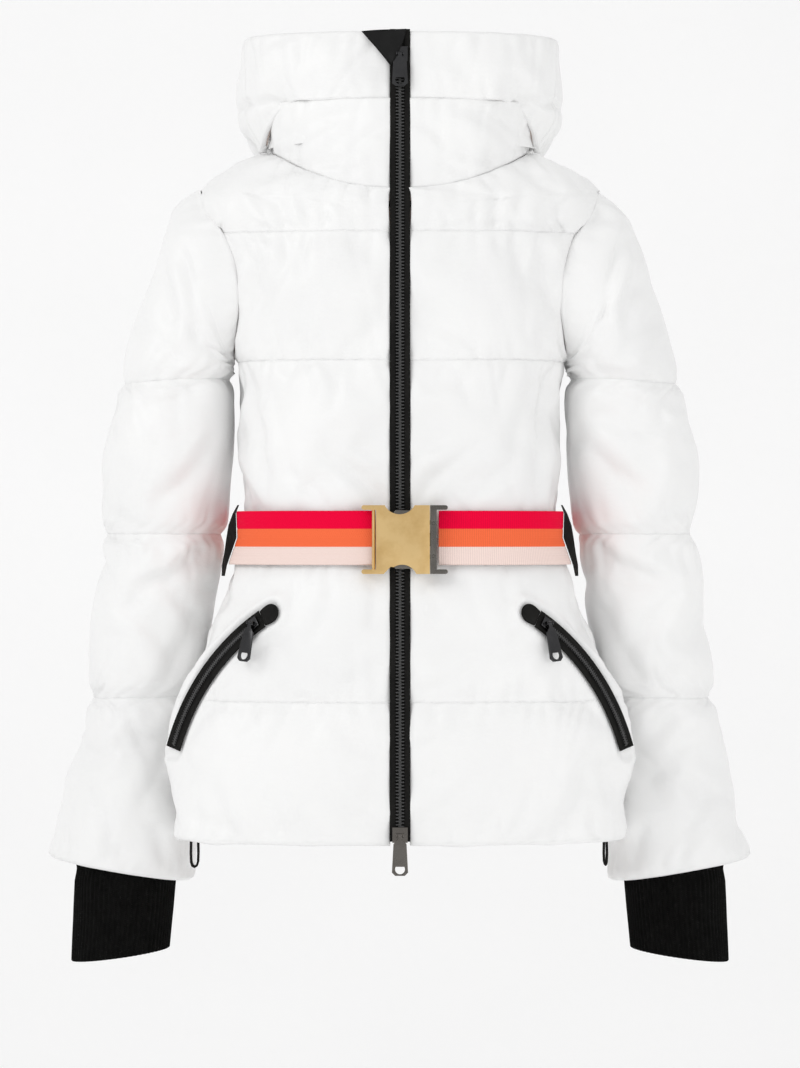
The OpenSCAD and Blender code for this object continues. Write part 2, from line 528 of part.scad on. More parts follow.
module pocket_slider_right() color(black) flip() pocket_slider();
module pocket_puller_left() color(black) pocket_puller();
module pocket_puller_right() color(black) flip() pocket_puller();
module pocket_patch_left() color(black) pocket_patch();
module pocket_patch_right() color(black) flip() pocket_patch();
module belt_loop_left() color(black) belt_loop();
module belt_loop_right() color(black) flip() belt_loop();
module buckle_socket() color([0.75, 0.6, 0.35]) socket_body();
module buckle_plug() color(gunmetal) plug_body();
module prong_top() color(gunmetal) prong(1);
module prong_bottom() color(gunmetal) prong(-1);
module hem_tabs() color(black) for (s = [0, 1]) mirror([s, 0, 0]) hem_tab();

yoke_left();
yoke_right();
yoke_back();
chest_left();
chest_right();
chest_back();
midriff_left();
midriff_right();
midriff_back();
hip_left();
hip_right();
hip_back();
hem_left();
hem_right();
hem_back();
lining_left();
lining_right();
lining_back();
collar_left();
collar_right();
brim_left();
brim_right();
hood_left();
hood_right();
sleeve_head_left();
sleeve_upper_left();
sleeve_lower_left();
sleeve_end_left();
cuff_left();
sleeve_head_right();
sleeve_upper_right();
sleeve_lower_right();
sleeve_end_right();
cuff_right();
zip_tape_left();
zip_tape_right();
zip_teeth_left();
zip_teeth_right();
zip_facing();
top_slider();
top_puller();
bottom_slider();
bottom_puller();
elastic_belt();
hanger_loop();
pocket_zip_left();
pocket_slider_left();
pocket_puller_left();
pocket_patch_left();
pocket_zip_right();
pocket_slider_right();
pocket_puller_right();
pocket_patch_right();
belt_loop_left();
belt_loop_right();
buckle_socket();
buckle_plug();
prong_top();
prong_bottom();
hem_tabs();
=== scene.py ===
import math
import bmesh
import bpy
import numpy as np
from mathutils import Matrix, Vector


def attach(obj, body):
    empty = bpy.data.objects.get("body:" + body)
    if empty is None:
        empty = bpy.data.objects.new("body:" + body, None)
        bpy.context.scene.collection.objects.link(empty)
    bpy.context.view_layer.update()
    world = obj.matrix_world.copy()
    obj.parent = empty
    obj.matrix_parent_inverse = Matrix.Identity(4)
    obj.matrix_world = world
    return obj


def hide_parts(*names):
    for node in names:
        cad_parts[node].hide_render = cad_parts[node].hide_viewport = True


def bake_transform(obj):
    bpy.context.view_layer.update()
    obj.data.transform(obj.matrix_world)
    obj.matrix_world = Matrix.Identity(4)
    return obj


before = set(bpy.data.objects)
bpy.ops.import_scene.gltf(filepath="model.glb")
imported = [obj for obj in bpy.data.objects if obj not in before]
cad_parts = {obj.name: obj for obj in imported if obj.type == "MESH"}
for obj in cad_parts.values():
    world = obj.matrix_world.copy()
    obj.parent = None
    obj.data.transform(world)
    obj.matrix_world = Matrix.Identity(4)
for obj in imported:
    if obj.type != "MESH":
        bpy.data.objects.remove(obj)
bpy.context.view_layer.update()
MM = 0.001
rng = np.random.default_rng(7)

# ---------------------------------------------------------------- shape of the jacket, in mm
TOP_Z, HEM_Z, BRIM_Z, YOKE_Z, CHEST_Z, WAIST_Z, HIP_Z = 143, -606, 82, -42, -162, -327, -478
ZIP_Y, LEAN, ZIP_HALF, RN = -140.0, math.radians(4.574), 10.0, 2.4
SLOPE = math.tan(LEAN)
ARM_D, ARM_Z = 58.0, -160.0
BELT_OFF, BELT_T = 4.6, 2.0
RING_W, RING_Y = 122.0, -62.0


def smooth_table(rows, sigma=9.0):
    rows = sorted(rows)
    x = np.arange(-700.0, 60.0, 1.0)
    y = np.interp(x, [r[0] for r in rows], [r[1] for r in rows])
    k = np.exp(-0.5 * (np.arange(-40, 41) / sigma) ** 2)
    y = np.convolve(np.pad(y, 40, mode="edge"), k / k.sum(), mode="valid")
    return lambda z: np.interp(z, x, y)


tw = smooth_table([[-606, 212], [-560, 209], [-530, 208], [-480, 200], [-423, 181], [-357, 156], [-327, 146],
                   [-300, 147], [-245, 151], [-188, 150], [-132, 163], [-42, 186], [-20, 193], [0, 189]])
ty = smooth_table([[-606, -110], [-480, -98], [-327, -75], [-162, -60], [-42, -60]])
tb = smooth_table([[-606, 45], [-480, 48], [-420, 42], [-327, 18], [-260, 30], [-162, 46], [-42, 42]])


def front_y(z):
    return ZIP_Y - SLOPE * (TOP_Z - z)


def sp(v, e):
    return np.sign(v) * np.abs(v) ** e


def torso(t, z, off=0.0):
    c = ty(z)
    d = np.where(np.cos(t) > 0, c - front_y(z), tb(z) - c) + off
    return np.stack([(tw(z) + off) * sp(np.sin(t), 2 / RN), c - d * sp(np.cos(t), 2 / RN), z + 0 * t], -1)


def t_at_x(x, z, off=0.0):
    return np.arcsin((x / (tw(z) + off)) ** (RN / 2))


def arm_half(z):
    m, h = (2 + ARM_Z) / 2, (2 - ARM_Z) / 2
    return ARM_D * np.sqrt(np.clip(1 - ((z - m) / h) ** 2, 0, None))


def t_side(z, s):
    d = ty(z) - front_y(z) if s > 0 else tb(z) - ty(z)
    a = np.arccos(np.clip((arm_half(z) + 0.5) / d, 0, 1) ** (RN / 2))
    return a if s > 0 else math.pi - a


def collar_z(t):
    return np.where(np.cos(t) > 0, 37 - 39 * np.cos(t) ** 2, 37 - 22 * np.cos(t) ** 2)


def ring(t, off=0.0):
    d = np.where(np.cos(t) > 0, RING_Y - front_y(0), 71.0) + off
    return (RING_W + off) * sp(np.sin(t), 0.9), RING_Y - d * sp(np.cos(t), 0.9)


def yoke_pt(t, v):
    p = torso(t, YOKE_Z + 0 * t)
    qx, qy = ring(t, 1.0)
    q = np.stack([qx, qy, collar_z(t)], -1)
    lift = 6 + 24 * np.sin(t) ** 2
    c = np.stack([p[..., 0] * (1 + 0.19 * np.abs(np.sin(t)) ** 3), p[..., 1], q[..., 2] - lift], -1)
    k = 1 - v
    return (k * k)[..., None] * p + (2 * v * k)[..., None] * c + (v * v)[..., None] * q


def yoke_side(v, s):
    z = yoke_pt(np.full_like(v, math.pi / 2), v)[..., 2]
    g = arm_half(z) * (v < 0.5) + 0.5
    d = ((1 - v * v) * (ty(YOKE_Z) - front_y(YOKE_Z)) + v * v * (RING_Y - front_y(0)) if s > 0
         else (1 - v * v) * (tb(YOKE_Z) - ty(YOKE_Z)) + v * v * 71)
    a = np.arccos((g / d) ** 1.2)
    return a if s > 0 else math.pi - a


def hood_low(t):
    t = np.degrees(t)
    t = np.where(t > 180, 360 - t, t)
    falling = BRIM_Z - 44 * (1 - np.cos(np.radians((t - 38) * 90 / 42)))
    return np.where(t < 38, BRIM_Z, np.where(t < 80, falling, BRIM_Z - 44.0))


def hood_pt(t, v):
    """Point of the hood: v runs from its lower edge to its top rim."""
    ct = np.cos(t)
    k = np.clip(-ct, 0, None)
    out = k * (34 * np.sin(np.pi * v ** 0.75) ** 0.8 - 56 * (1 - v) ** 4)
    d = np.where(ct > 0, RING_Y - front_y(112), 108.0) + out
    x, y = (149 + out) * sp(np.sin(t), 0.85), RING_Y - d * sp(ct, 0.85)
    b = hood_low(t) - 16 * k
    z = b + (TOP_Z - b) * v
    y = y + SLOPE * (z - 112) * np.clip(ct, 0, None)
    return np.stack([x, y, z - 30 * k * np.sin(np.pi * np.minimum(1, 1.6 * v)) * (v < 0.625)], -1)


def collar_pt(t, v):
    x, y = ring(t, 0.0)
    k = 1 + 3 * v / RING_W
    b = collar_z(t) + 0.5
    z = b + (BRIM_Z - 0.5 - b) * v
    return np.stack([x * k, RING_Y + (y - RING_Y) * k + SLOPE * z * np.clip(np.cos(t), 0, None), z], -1)


# cross-sections of the arm: outer x and z, inner x and z, y of the middle, half depth
ARM = np.array([[197.5, 0, 160.5, -160, -60, 56], [215, -22, 161, -163, -60, 60],
                [227, -60, 161, -166, -59, 62],
                [243, -108, 160, -169, -58, 62], [264, -182, 160, -171, -55, 60],
                [277, -244, 162, -244, -49, 63], [281, -324, 169, -324, -40, 58],
                [290, -395, 183, -400, -30, 62], [296, -481, 197, -478, -17, 58],
                [314, -555, 199, -560, -5, 64], [340, -631, 200, -655, 4, 68]], float)
AQ = np.arange(0, 10.001, 0.02)
AROWS = np.stack([np.interp(AQ, np.arange(11), ARM[:, i]) for i in range(6)], -1)
_k = np.exp(-0.5 * (np.arange(-30, 31) / 11.0) ** 2)
_pad = np.concatenate([2 * AROWS[:1] - AROWS[30:0:-1], AROWS, 2 * AROWS[-1:] - AROWS[-2:-32:-1]])
AROWS = np.stack([np.convolve(_pad[:, i], _k / _k.sum(), mode="valid") for i in range(6)], -1)


def arm_pt(q, f, off=0.0):
    r = np.stack([np.interp(q, AQ, AROWS[:, i]) for i in range(6)], -1)
    o = np.stack([r[..., 0], 0 * q, r[..., 1]], -1)
    i = np.stack([r[..., 2], 0 * q, r[..., 3]], -1)
    c, a = (o + i) / 2, (o - i) / 2
    k = np.linalg.norm(a, axis=-1)
    p = c + a * ((k + off) / k * np.cos(f))[..., None]
    p[..., 1] += r[..., 4] + (r[..., 5] + off) * np.sin(f)
    # the head of the sleeve meets the side of the torso
    h, m = (2 - ARM_Z) / 2, (2 + ARM_Z) / 2
    z = m + h * np.cos(f)
    y = ARM_D * np.sin(f)
    zc = np.clip(z, -170, 0)
    c2 = ty(zc)
    d = np.where(y < 0, c2 - front_y(zc), tb(zc) - c2)
    x = tw(zc) * (1 - np.minimum(0.97, np.abs(y) / d) ** RN) ** (1 / RN) + 0.8
    w = np.clip(1 - q, 0, 1)[..., None]
    return (1 - w) * p + w * np.stack([x, c2 + y, z], -1)


def mirrored(p):
    q = p.copy()
    q[..., 0] *= -1
    return q


def add_object(name, data):
    ob = bpy.data.objects.new(name, data)
    bpy.context.scene.collection.objects.link(ob)
    return ob


SIDES = (("left", 1), ("right", -1))
PANELS = (("front_left", "left"), ("front_right", "right"), ("back", "back"))

# ---------------------------------------------------------------- cloth grids
STEP = 5.2
GRIDS = {}


def grid(name, fn, rows, cols, closed=False, pin_rows=(), flip=False, pin_cols=(0, -1)):
    """fn(j, i) gives points for row and column arrays; rows run upwards, columns to the right from outside."""
    j, i = np.meshgrid(np.arange(rows), np.arange(cols), indexing="ij")
    p = fn(j.astype(float), i.astype(float))
    pin = np.zeros((rows, cols), bool)
    pin[0] = pin[-1] = True
    for r in pin_rows:
        pin[r] = True
    if not closed:
        for c in pin_cols:
            pin[:, c] = True
    if flip:
        p = mirrored(p)
    GRIDS[name] = {"p": p, "pin": pin, "closed": closed, "flip": flip}


def quads(r, c, closed, flip):
    """Faces of a grid with r rows and c columns."""
    j, i = np.meshgrid(np.arange(r - 1), np.arange(c if closed else c - 1), indexing="ij")
    k = (i + 1) % c
    q = np.stack([j * c + i, j * c + k, (j + 1) * c + k, (j + 1) * c + i], -1).reshape(-1, 4)
    return q[:, ::-1] if flip else q


def normals(p, closed, flip):
    du = np.roll(p, -1, 1) - np.roll(p, 1, 1) if closed else np.gradient(p, axis=1)
    dv = np.gradient(p, axis=0)
    n = np.cross(du, dv)
    if flip:
        n = -n
    return n / np.maximum(np.linalg.norm(n, axis=-1, keepdims=True), 1e-9)


# torso panels: rows from the hem to the yoke seam, then over the shoulder to the collar
LEVELS = [HEM_Z, HIP_Z, WAIST_Z, CHEST_Z, YOKE_Z]
zrows, seam_rows = [], [0]
for a, b in zip(LEVELS[:-1], LEVELS[1:]):
    n = int(round((b - a) / STEP))
    zrows += list(a + (b - a) * np.arange(n) / n)
    seam_rows.append(len(zrows))
NZ = len(zrows)
NY = 22
zrows = np.array(zrows + [YOKE_Z])


def torso_grid(s, cols, j, i):
    low = j <= NZ
    z = zrows[np.minimum(j, NZ).astype(int)]
    v = np.clip((j - NZ) / NY, 0, 1)
    u = i / (cols - 1)
    if s > 0:
        a0, a1 = t_at_x(ZIP_HALF, z), t_side(z, 1)
        b0, b1 = t_at_x(ZIP_HALF, YOKE_Z + 0 * z) + v * math.radians(1.1), yoke_side(v, 1)
    else:
        a0 = t_side(z, -1)
        a1 = 2 * math.pi - a0
        b0 = yoke_side(v, -1)
        b1 = 2 * math.pi - b0
    t0, t1 = np.where(low, a0, b0), np.where(low, a1, b1)
    t = t0 + (t1 - t0) * u
    return np.where(low[..., None], torso(t, z), yoke_pt(t, v))


NF, NB = 46, 92
ROWS_T = NZ + NY + 1
for s in (0, 1):
    grid("front_" + ("left", "right")[s], lambda j, i: torso_grid(1, NF, j, i), ROWS_T, NF, False,
         seam_rows, flip=bool(s))
grid("back", lambda j, i: torso_grid(-1, NB, j, i), ROWS_T, NB, False, seam_rows)

# sleeves: rows from the end up to the armhole
qs, sleeve_seams = [], [0]
for a, b, length in ((10, 8, 165), (8, 6, 158), (6, 4, 150), (4, 0, 165)):
    n = int(round(length / STEP))
    qs += list(a + (b - a) * np.arange(n) / n)
    sleeve_seams.append(len(qs))
qs = np.array(qs + [0.0])
NS = 72
for s in (0, 1):
    grid("sleeve_" + ("left", "right")[s], lambda j, i: arm_pt(qs[j.astype(int)], i * 2 * math.pi / NS),
         len(qs), NS, True, sleeve_seams, flip=bool(s))

# collar halves and the hood with its brim
NC, RC = 56, 18
for s in (0, 1):
    def collar_fn(j, i):
        t0 = math.asin(ZIP_HALF / RING_W) * 1.05
        p = collar_pt(t0 + (math.pi - t0) * i / (NC - 1), j / (RC - 1))
        p[:, 0, 0] = ZIP_HALF
        return p
    grid("collar_" + ("left", "right")[s], collar_fn, RC, NC, False, (), flip=bool(s))
NH, RH = 151, 24
T_HOOD = math.asin((ZIP_HALF / 149) ** (1 / 0.85))


def hood_fn(j, i):
    t = T_HOOD + (2 * math.pi - 2 * T_HOOD) * i / (NH - 1)
    return hood_pt(t, j / (RH - 1))


grid("hood", hood_fn, RH, NH, False, ())
SIDE_COL = int(round((math.radians(78.8) - T_HOOD) / (2 * math.pi - 2 * T_HOOD) * (NH - 1)))
for c in (SIDE_COL, NH - 1 - SIDE_COL):
    GRIDS["hood"]["pin"][:, c] = True


def lengths(p, axis):
    d = np.linalg.norm(np.diff(p, axis=axis), axis=-1)
    z = np.zeros_like(np.take(d, [0], axis=axis))
    return np.concatenate([z, np.cumsum(d, axis=axis)], axis=axis)


def blur(a, sigma, closed=False):
    """Gaussian blur of a grid in cells."""
    k = int(3 * sigma) + 1
    w = np.exp(-0.5 * (np.arange(-k, k + 1) / sigma) ** 2)
    w /= w.sum()
    for axis in (0, 1):
        mode = "wrap" if closed and axis == 1 else "edge"
        pad = [(0, 0)] * a.ndim
        pad[axis] = (k, k)
        b = np.pad(a, pad, mode=mode)
        n = a.shape[axis]
        a = sum(w[i] * np.take(b, np.arange(i, i + n), axis=axis) for i in range(2 * k + 1))
    return a


def soft_noise(r, c, sigma):
    a = blur(rng.normal(0, 1, (r, c)), sigma)
    return a / a.std()


def simulate(frames=26):
    """One cloth simulation of every baffle: pinned seams, fabric longer than its seams, air inside."""
    verts, faces, pins, at = [], [], [], {}
    base = 0
    for name, g in GRIDS.items():
        p = g["p"]
        r, c = p.shape[:2]
        n = normals(p, g["closed"], g["flip"])
        start = p + n * 0.4 + n * (soft_noise(r, c, 2.0) * 1.6)[..., None] * (~g["pin"])[..., None]
        start = start - n * (g["pin"] * 1.2)[..., None]
        at[name] = (base, r, c)
        verts.append(start.reshape(-1, 3))
        pins.append(g["pin"].reshape(-1))
        faces.append(quads(r, c, g["closed"], g["flip"]) + base)
        base += r * c
    verts, faces, pins = np.concatenate(verts) * MM, np.concatenate(faces), np.concatenate(pins)
    me = bpy.data.meshes.new("cloth_sim")
    me.from_pydata(verts.tolist(), [], faces.tolist())
    ob = add_object("cloth_sim", me)
    vg = ob.vertex_groups.new(name="pin")
    vg.add(np.nonzero(pins)[0].tolist(), 1.0, "REPLACE")
    mod = ob.modifiers.new("Cloth", "CLOTH")
    st = mod.settings
    for k, v in {"quality": 4, "mass": 0.02, "air_damping": 6.0, "tension_stiffness": 9.0,
                 "compression_stiffness": 9.0, "shear_stiffness": 3.0, "bending_stiffness": 0.12,
                 "tension_damping": 5.0, "compression_damping": 5.0, "shear_damping": 4.0,
                 "vertex_group_mass": "pin", "pin_stiffness": 1.0, "shrink_min": -0.05, "shrink_max": -0.05,
                 "use_pressure": True, "uniform_pressure_force": 2.2}.items():
        setattr(st, k, v)
    st.effector_weights.gravity = 0.0
    mod.collision_settings.use_collision = False
    mod.collision_settings.use_self_collision = False
    mod.point_cache.frame_start = 1
    mod.point_cache.frame_end = frames + 1
    sc = bpy.context.scene
    for f in range(1, frames + 1):
        sc.frame_set(f)
    dg = bpy.context.evaluated_depsgraph_get()
    ev = ob.evaluated_get(dg).to_mesh()
    out = np.empty(len(verts) * 3)
    ev.vertices.foreach_get("co", out)
    out = out.reshape(-1, 3) / MM
    ob.evaluated_get(dg).to_mesh_clear()
    bpy.data.objects.remove(ob)
    bpy.data.meshes.remove(me)
    sc.frame_set(1)
    for name, (b, r, c) in at.items():
        GRIDS[name]["sim"] = out[b:b + r * c].reshape(r, c, 3)


simulate()

# ---------------------------------------------------------------- from the cloth to the final surface
POCKET_C, POCKET_P0 = np.array([26.43, -224.33, -582.64]), np.array([116.56, -171.16, -396.68])
PA = np.array([-0.4543, 0.8902, -0.0343])
PA /= np.linalg.norm(PA)
PE2 = np.cross(PA, POCKET_P0 - POCKET_C)
PE2 /= np.linalg.norm(PE2)
PE1 = np.cross(PE2, PA)
POCKET_O = POCKET_C - PA * 6.5
POCKET_R, POCKET_TILT, POCKET_SWEEP = 213.4, math.radians(12), 42.0
PER_DEG = POCKET_R * math.pi / 180


def pocket_local(p):
    d = p - POCKET_O
    x, y, z = d @ PE1, d @ PE2, d @ PA
    return np.hypot(x, y) - POCKET_R, np.degrees(np.arctan2(y, x)), z


def pocket_clear(p, side):
    """Push fabric that would cover the pocket's zip tape back under it."""
    sg = np.array([side, 1.0, 1.0])
    rho, ang, zl = pocket_local(p * sg)
    past = np.where(ang < 0, -ang, np.maximum(0, ang - 2.5 - POCKET_SWEEP)) * PER_DEG
    w = 1 - smoothstep(9.4, 13.0, np.hypot(rho, past))
    push = np.clip(rho * math.tan(POCKET_TILT) + 2.9 - zl, 0, 18) * w * (np.abs(ang) < 70)
    return p + push[..., None] * PA * sg


def smoothstep(a, b, x):
    t = np.clip((x - a) / (b - a), 0, 1)
    return t * t * (3 - 2 * t)


# soft folds: ends (x, z), depth and width in mm, on the left side seen from the front
FRONT_FOLDS = [(89, -8, 91, -60, 2.6, 6), (70, -14, 74, -52, 1.6, 5), (112, -6, 108, -80, 2.0, 7),
               (141, -174, 122, -291, 2.8, 6), (118, -190, 100, -270, 1.4, 7), (66, -244, 14, -296, 2.6, 7),
               (40, -236, 12, -262, 1.6, 6), (98, -262, 62, -300, 1.8, 6), (132, -60, 150, -120, 2.4, 7),
               (60, -364, 84, -420, 2.2, 7), (96, -360, 104, -392, 1.8, 5), (24, -362, 30, -410, 1.6, 6),
               (20, -470, 70, -440, 1.6, 8), (16, -520, 60, -490, 2.0, 8), (14, -590, 70, -545, 2.4, 9),
               (100, -600, 120, -548, 2.0, 7), (150, -596, 168, -540, 2.2, 8), (60, -170, 64, -205, 1.8, 5)]
SLEEVE_FOLDS = [(232, -40, 216, -130, 3.0, 8), (206, -60, 190, -140, 3.2, 7),
                (250, -120, 205, -160, 2.2, 7), (184, -170, 230, -205, 2.6, 8),
                (262, -180, 225, -240, 2.2, 9), (180, -240, 232, -290, 3.0, 9),
                (270, -300, 222, -338, 2.6, 8), (182, -330, 240, -372, 3.2, 8),
                (262, -380, 215, -440, 2.4, 9), (196, -400, 236, -470, 2.6, 8),
                (286, -480, 236, -520, 2.6, 9), (214, -500, 250, -580, 2.4, 9),
                (300, -560, 262, -640, 2.6, 9), (232, -600, 226, -652, 2.2, 7)]
COLLAR_FOLDS = [(118, 30, 60, 66, 2.4, 6), (112, 52, 52, 74, 2.0, 6),
                (106, 14, 50, 30, 2.2, 6), (70, 4, 34, 22, 1.6, 5),
                (40, 40, 16, 58, 1.6, 5)]


def folds(x, z, lines):
    f = np.zeros_like(x)
    for x0, z0, x1, z1, depth, width in lines:
        dx, dz = x1 - x0, z1 - z0
        ln = math.hypot(dx, dz)
        u = ((x - x0) * dx + (z - z0) * dz) / ln ** 2
        v = ((x - x0) * -dz + (z - z0) * dx) / ln + 4.0 * np.sin(3.0 * np.clip(u, 0, 1))
        ends = smoothstep(-0.25, 0.15, u) * (1 - smoothstep(0.75, 1.2, u))
        crease, ridge = np.exp(-np.abs(v / width) ** 1.6), np.exp(-((v - 1.9 * width) / width) ** 2)
        f -= depth * ends * (crease - 0.4 * ridge)
    return f


FOLDS = {"front": FRONT_FOLDS, "sleeve": SLEEVE_FOLDS, "collar": COLLAR_FOLDS}
FOLD_GAIN, SINK, SIDE_SHIFT = 1.6, 4.5, 7
# how far the fabric may stand off its starting surface, in mm
CAP = {"front": 17.0, "back": 17.0, "sleeve": 13.0, "collar": 11.0, "hood": 17.0}


def finish_shape(name):
    """Smooth and limit what the simulation gave, then add folds, seams and the seat of the pocket zip."""
    g, kind = GRIDS[name], name.split("_")[0]
    p, s = g["p"], g["sim"]
    n = normals(p, g["closed"], g["flip"])
    g["n"] = n
    delta = s - p
    fine = 0.35 if kind in ("hood", "collar") else 0.66
    delta = fine * blur(delta, 0.8, g["closed"]) + (1 - fine) * blur(delta, 2.2, g["closed"])
    d = (delta * n).sum(-1)
    lat = delta - n * d[..., None]
    ln = np.linalg.norm(lat, axis=-1, keepdims=True)
    lat = lat * np.minimum(1, SIDE_SHIFT / np.maximum(ln, 1e-6))
    cap = np.full(d.shape, CAP[kind])
    if kind in ("front", "back"):
        dz = np.abs(p[..., 2] - WAIST_Z)
        cap = np.where(dz < 80, 2.6 + 13 * smoothstep(26, 62, dz), cap)
        cap = np.minimum(cap, 6 + 12 * smoothstep(0, 70, np.abs(p[..., 2] - HEM_Z)))
    if kind == "sleeve":
        # leave room beside the torso
        inner = smoothstep(0.2, 0.9, -np.cos(np.arange(NS) * 2 * math.pi / NS))[None, :]
        cap = cap * (1 - inner) + 4.5 * inner
    if kind in FOLDS:
        facing = smoothstep(0.05, 0.5, -n[..., 1])
        off_seam = np.ones(d.shape)
        for row in np.nonzero(g["pin"].all(1))[0]:
            off_seam = np.minimum(off_seam, smoothstep(0, 3, np.abs(np.arange(d.shape[0]) - row))[:, None])
        lift = 6 if name.endswith("right") else 0
        d = d + FOLD_GAIN * folds(np.abs(p[..., 0]), p[..., 2] + lift, FOLDS[kind]) * facing * off_seam
    d = np.where(d > 0, cap * np.tanh(d / cap), np.maximum(d, -SINK))
    # stitched seams pull the fabric in
    dip = 3.4 if kind == "sleeve" else 1.6
    for row in np.nonzero(g["pin"].all(1))[0][1:-1]:
        away = np.abs(lengths(p, 0) - lengths(p, 0)[row:row + 1])
        d = d - dip * np.exp(-(away / 8.0) ** 2)
    if kind == "front":
        sg = np.array([1.0 if name.endswith("left") else -1.0, 1.0, 1.0])
        rho, ang, zl = pocket_local(p * sg)
        nz = -((n * sg) @ PA)
        want = (zl - (rho * math.tan(POCKET_TILT) - 0.9)) / np.maximum(nz, 0.3)
        along = np.where(ang < 0, np.hypot(rho, ang * PER_DEG), np.abs(rho))
        past = np.maximum(0, ang - (2.5 + POCKET_SWEEP)) * PER_DEG
        dist = np.hypot(along, past)
        near = 1 - smoothstep(9.8, 22 + 40 * smoothstep(0, 12, past), dist)
        lip = 1.6 * np.exp(-((dist - 11.9) / 2.2) ** 2)
        seat = d * (1 - near) + np.clip(want - 1.9, -2, 12) * near + lip * (nz > 0.2)
        d = np.where(np.abs(ang) < 70, seat, d)
    if kind == "hood":
        j, i = np.meshgrid(np.arange(RH), np.arange(NH), indexing="ij")
        v = j / (RH - 1)
        t = np.degrees(T_HOOD + (2 * math.pi - 2 * T_HOOD) * i / (NH - 1))
        t = np.where(t > 180, 360 - t, t)
        side = smoothstep(33, 52, t) * (1 - smoothstep(95, 125, t))
        low = hood_low(np.radians(t))
        deep = 1 - smoothstep(0, 34, p[..., 2] - low)
        g["tuck"] = 15 * side * deep ** 1.5
        d = d - g["tuck"]
        crease = np.exp(-((p[..., 2] - BRIM_Z - 1.5 * np.sin(t / 4.0)) / 3.4) ** 2)
        d = d - 4.2 * crease * smoothstep(34, 46, t) * (1 - smoothstep(88, 120, t))
    g["out"] = p + n * d[..., None] + lat


for grid_name in GRIDS:
    finish_shape(grid_name)


# ---------------------------------------------------------------- materials
def material(name, color, rough=0.5, metal=0.0, spec=0.5, sheen=0.0, coat=0.0):
    m = bpy.data.materials.new(name)
    m.use_nodes = True
    b = m.node_tree.nodes["Principled BSDF"]
    for k, v in (("Base Color", (*color, 1)), ("Roughness", rough), ("Metallic", metal),
                 ("Specular IOR Level", spec), ("Sheen Weight", sheen), ("Coat Weight", coat)):
        b.inputs[k].default_value = v
    return m, m.node_tree, b


def node(nt, kind, inputs=None, **props):
    """Add a shader node, set its properties and its input values, or link a socket given as a value."""
    n = nt.nodes.new(kind)
    for k, v in props.items():
        setattr(n, k, v)
    for k, v in (inputs or {}).items():
        if isinstance(v, bpy.types.NodeSocket):
            nt.links.new(v, n.inputs[k])
        else:
            n.inputs[k].default_value = v
    return n


def coords(nt, kind="Object", scale=(1, 1, 1)):
    t = node(nt, "ShaderNodeTexCoord")
    return node(nt, "ShaderNodeMapping", {"Scale": scale, "Vector": t.outputs[kind]}).outputs["Vector"]


def noise(nt, vec, scale, detail=3.0, rough=0.5, distort=0.0):
    return node(nt, "ShaderNodeTexNoise", {"Scale": scale, "Detail": detail, "Roughness": rough,
                                           "Distortion": distort, "Vector": vec}).outputs["Fac"]


def wave(nt, vec, scale, direction="X", distort=0.0):
    return node(nt, "ShaderNodeTexWave", {"Scale": scale, "Distortion": distort, "Vector": vec},
                bands_direction=direction).outputs["Fac"]


def bump(nt, b, layers):
    """layers: (height socket, strength, distance in metres); chained so that each adds to the last."""
    last = None
    for h, strength, dist in layers:
        n = node(nt, "ShaderNodeBump", {"Strength": strength, "Distance": dist, "Height": h})
        if last is not None:
            nt.links.new(last, n.inputs["Normal"])
        last = n.outputs["Normal"]
    nt.links.new(last, b.inputs["Normal"])


def vary(nt, b, fac, c0, c1, lo=0.35, hi=0.65):
    """Base colour that drifts between two colours."""
    r = node(nt, "ShaderNodeValToRGB", {"Fac": fac})
    for e, pos, color in zip(r.color_ramp.elements, (lo, hi), (c0, c1)):
        e.position, e.color = pos, (*color, 1)
    nt.links.new(r.outputs["Color"], b.inputs["Base Color"])


def remap(nt, b, socket, fac, lo, hi):
    r = node(nt, "ShaderNodeMapRange", {"To Min": lo, "To Max": hi, "Value": fac})
    nt.links.new(r.outputs["Result"], b.inputs[socket])


def mat_shell():
    m, nt, b = material("shell_nylon", (0.9, 0.9, 0.895), 0.42, 0, 0.35, 0.12)
    o = coords(nt)
    vary(nt, b, noise(nt, o, 9, 3), (0.895, 0.895, 0.892), (0.925, 0.925, 0.92))
    remap(nt, b, "Roughness", noise(nt, o, 40, 3), 0.34, 0.52)
    streaks = noise(nt, coords(nt, "UV", (14, 70, 1)), 1.6, 3, 0.55, 0.6)
    uv = coords(nt, "UV")
    bump(nt, b, [(noise(nt, o, 55, 4, 0.55, 0.4), 0.30, 0.0016), (streaks, 0.22, 0.0016),
                 (noise(nt, o, 190, 2, 0.5), 0.16, 0.0006), (wave(nt, uv, 420, "X"), 0.05, 0.0002),
                 (wave(nt, uv, 420, "Y"), 0.05, 0.0002)])
    return m


def mat_fabric(name, color, color2, rough, weave_scale, strength=0.25, sheen=0.2):
    m, nt, b = material(name, color, rough, 0, 0.15, sheen)
    o = coords(nt)
    vary(nt, b, noise(nt, o, 60, 4), color, color2)
    bump(nt, b, [(wave(nt, o, weave_scale, "X"), strength, 0.0003),
                 (wave(nt, o, weave_scale, "Z"), strength, 0.0003),
                 (noise(nt, o, 300, 2), 0.15, 0.0004)])
    remap(nt, b, "Roughness", noise(nt, o, 120, 2), rough - 0.06, rough + 0.08)
    return m


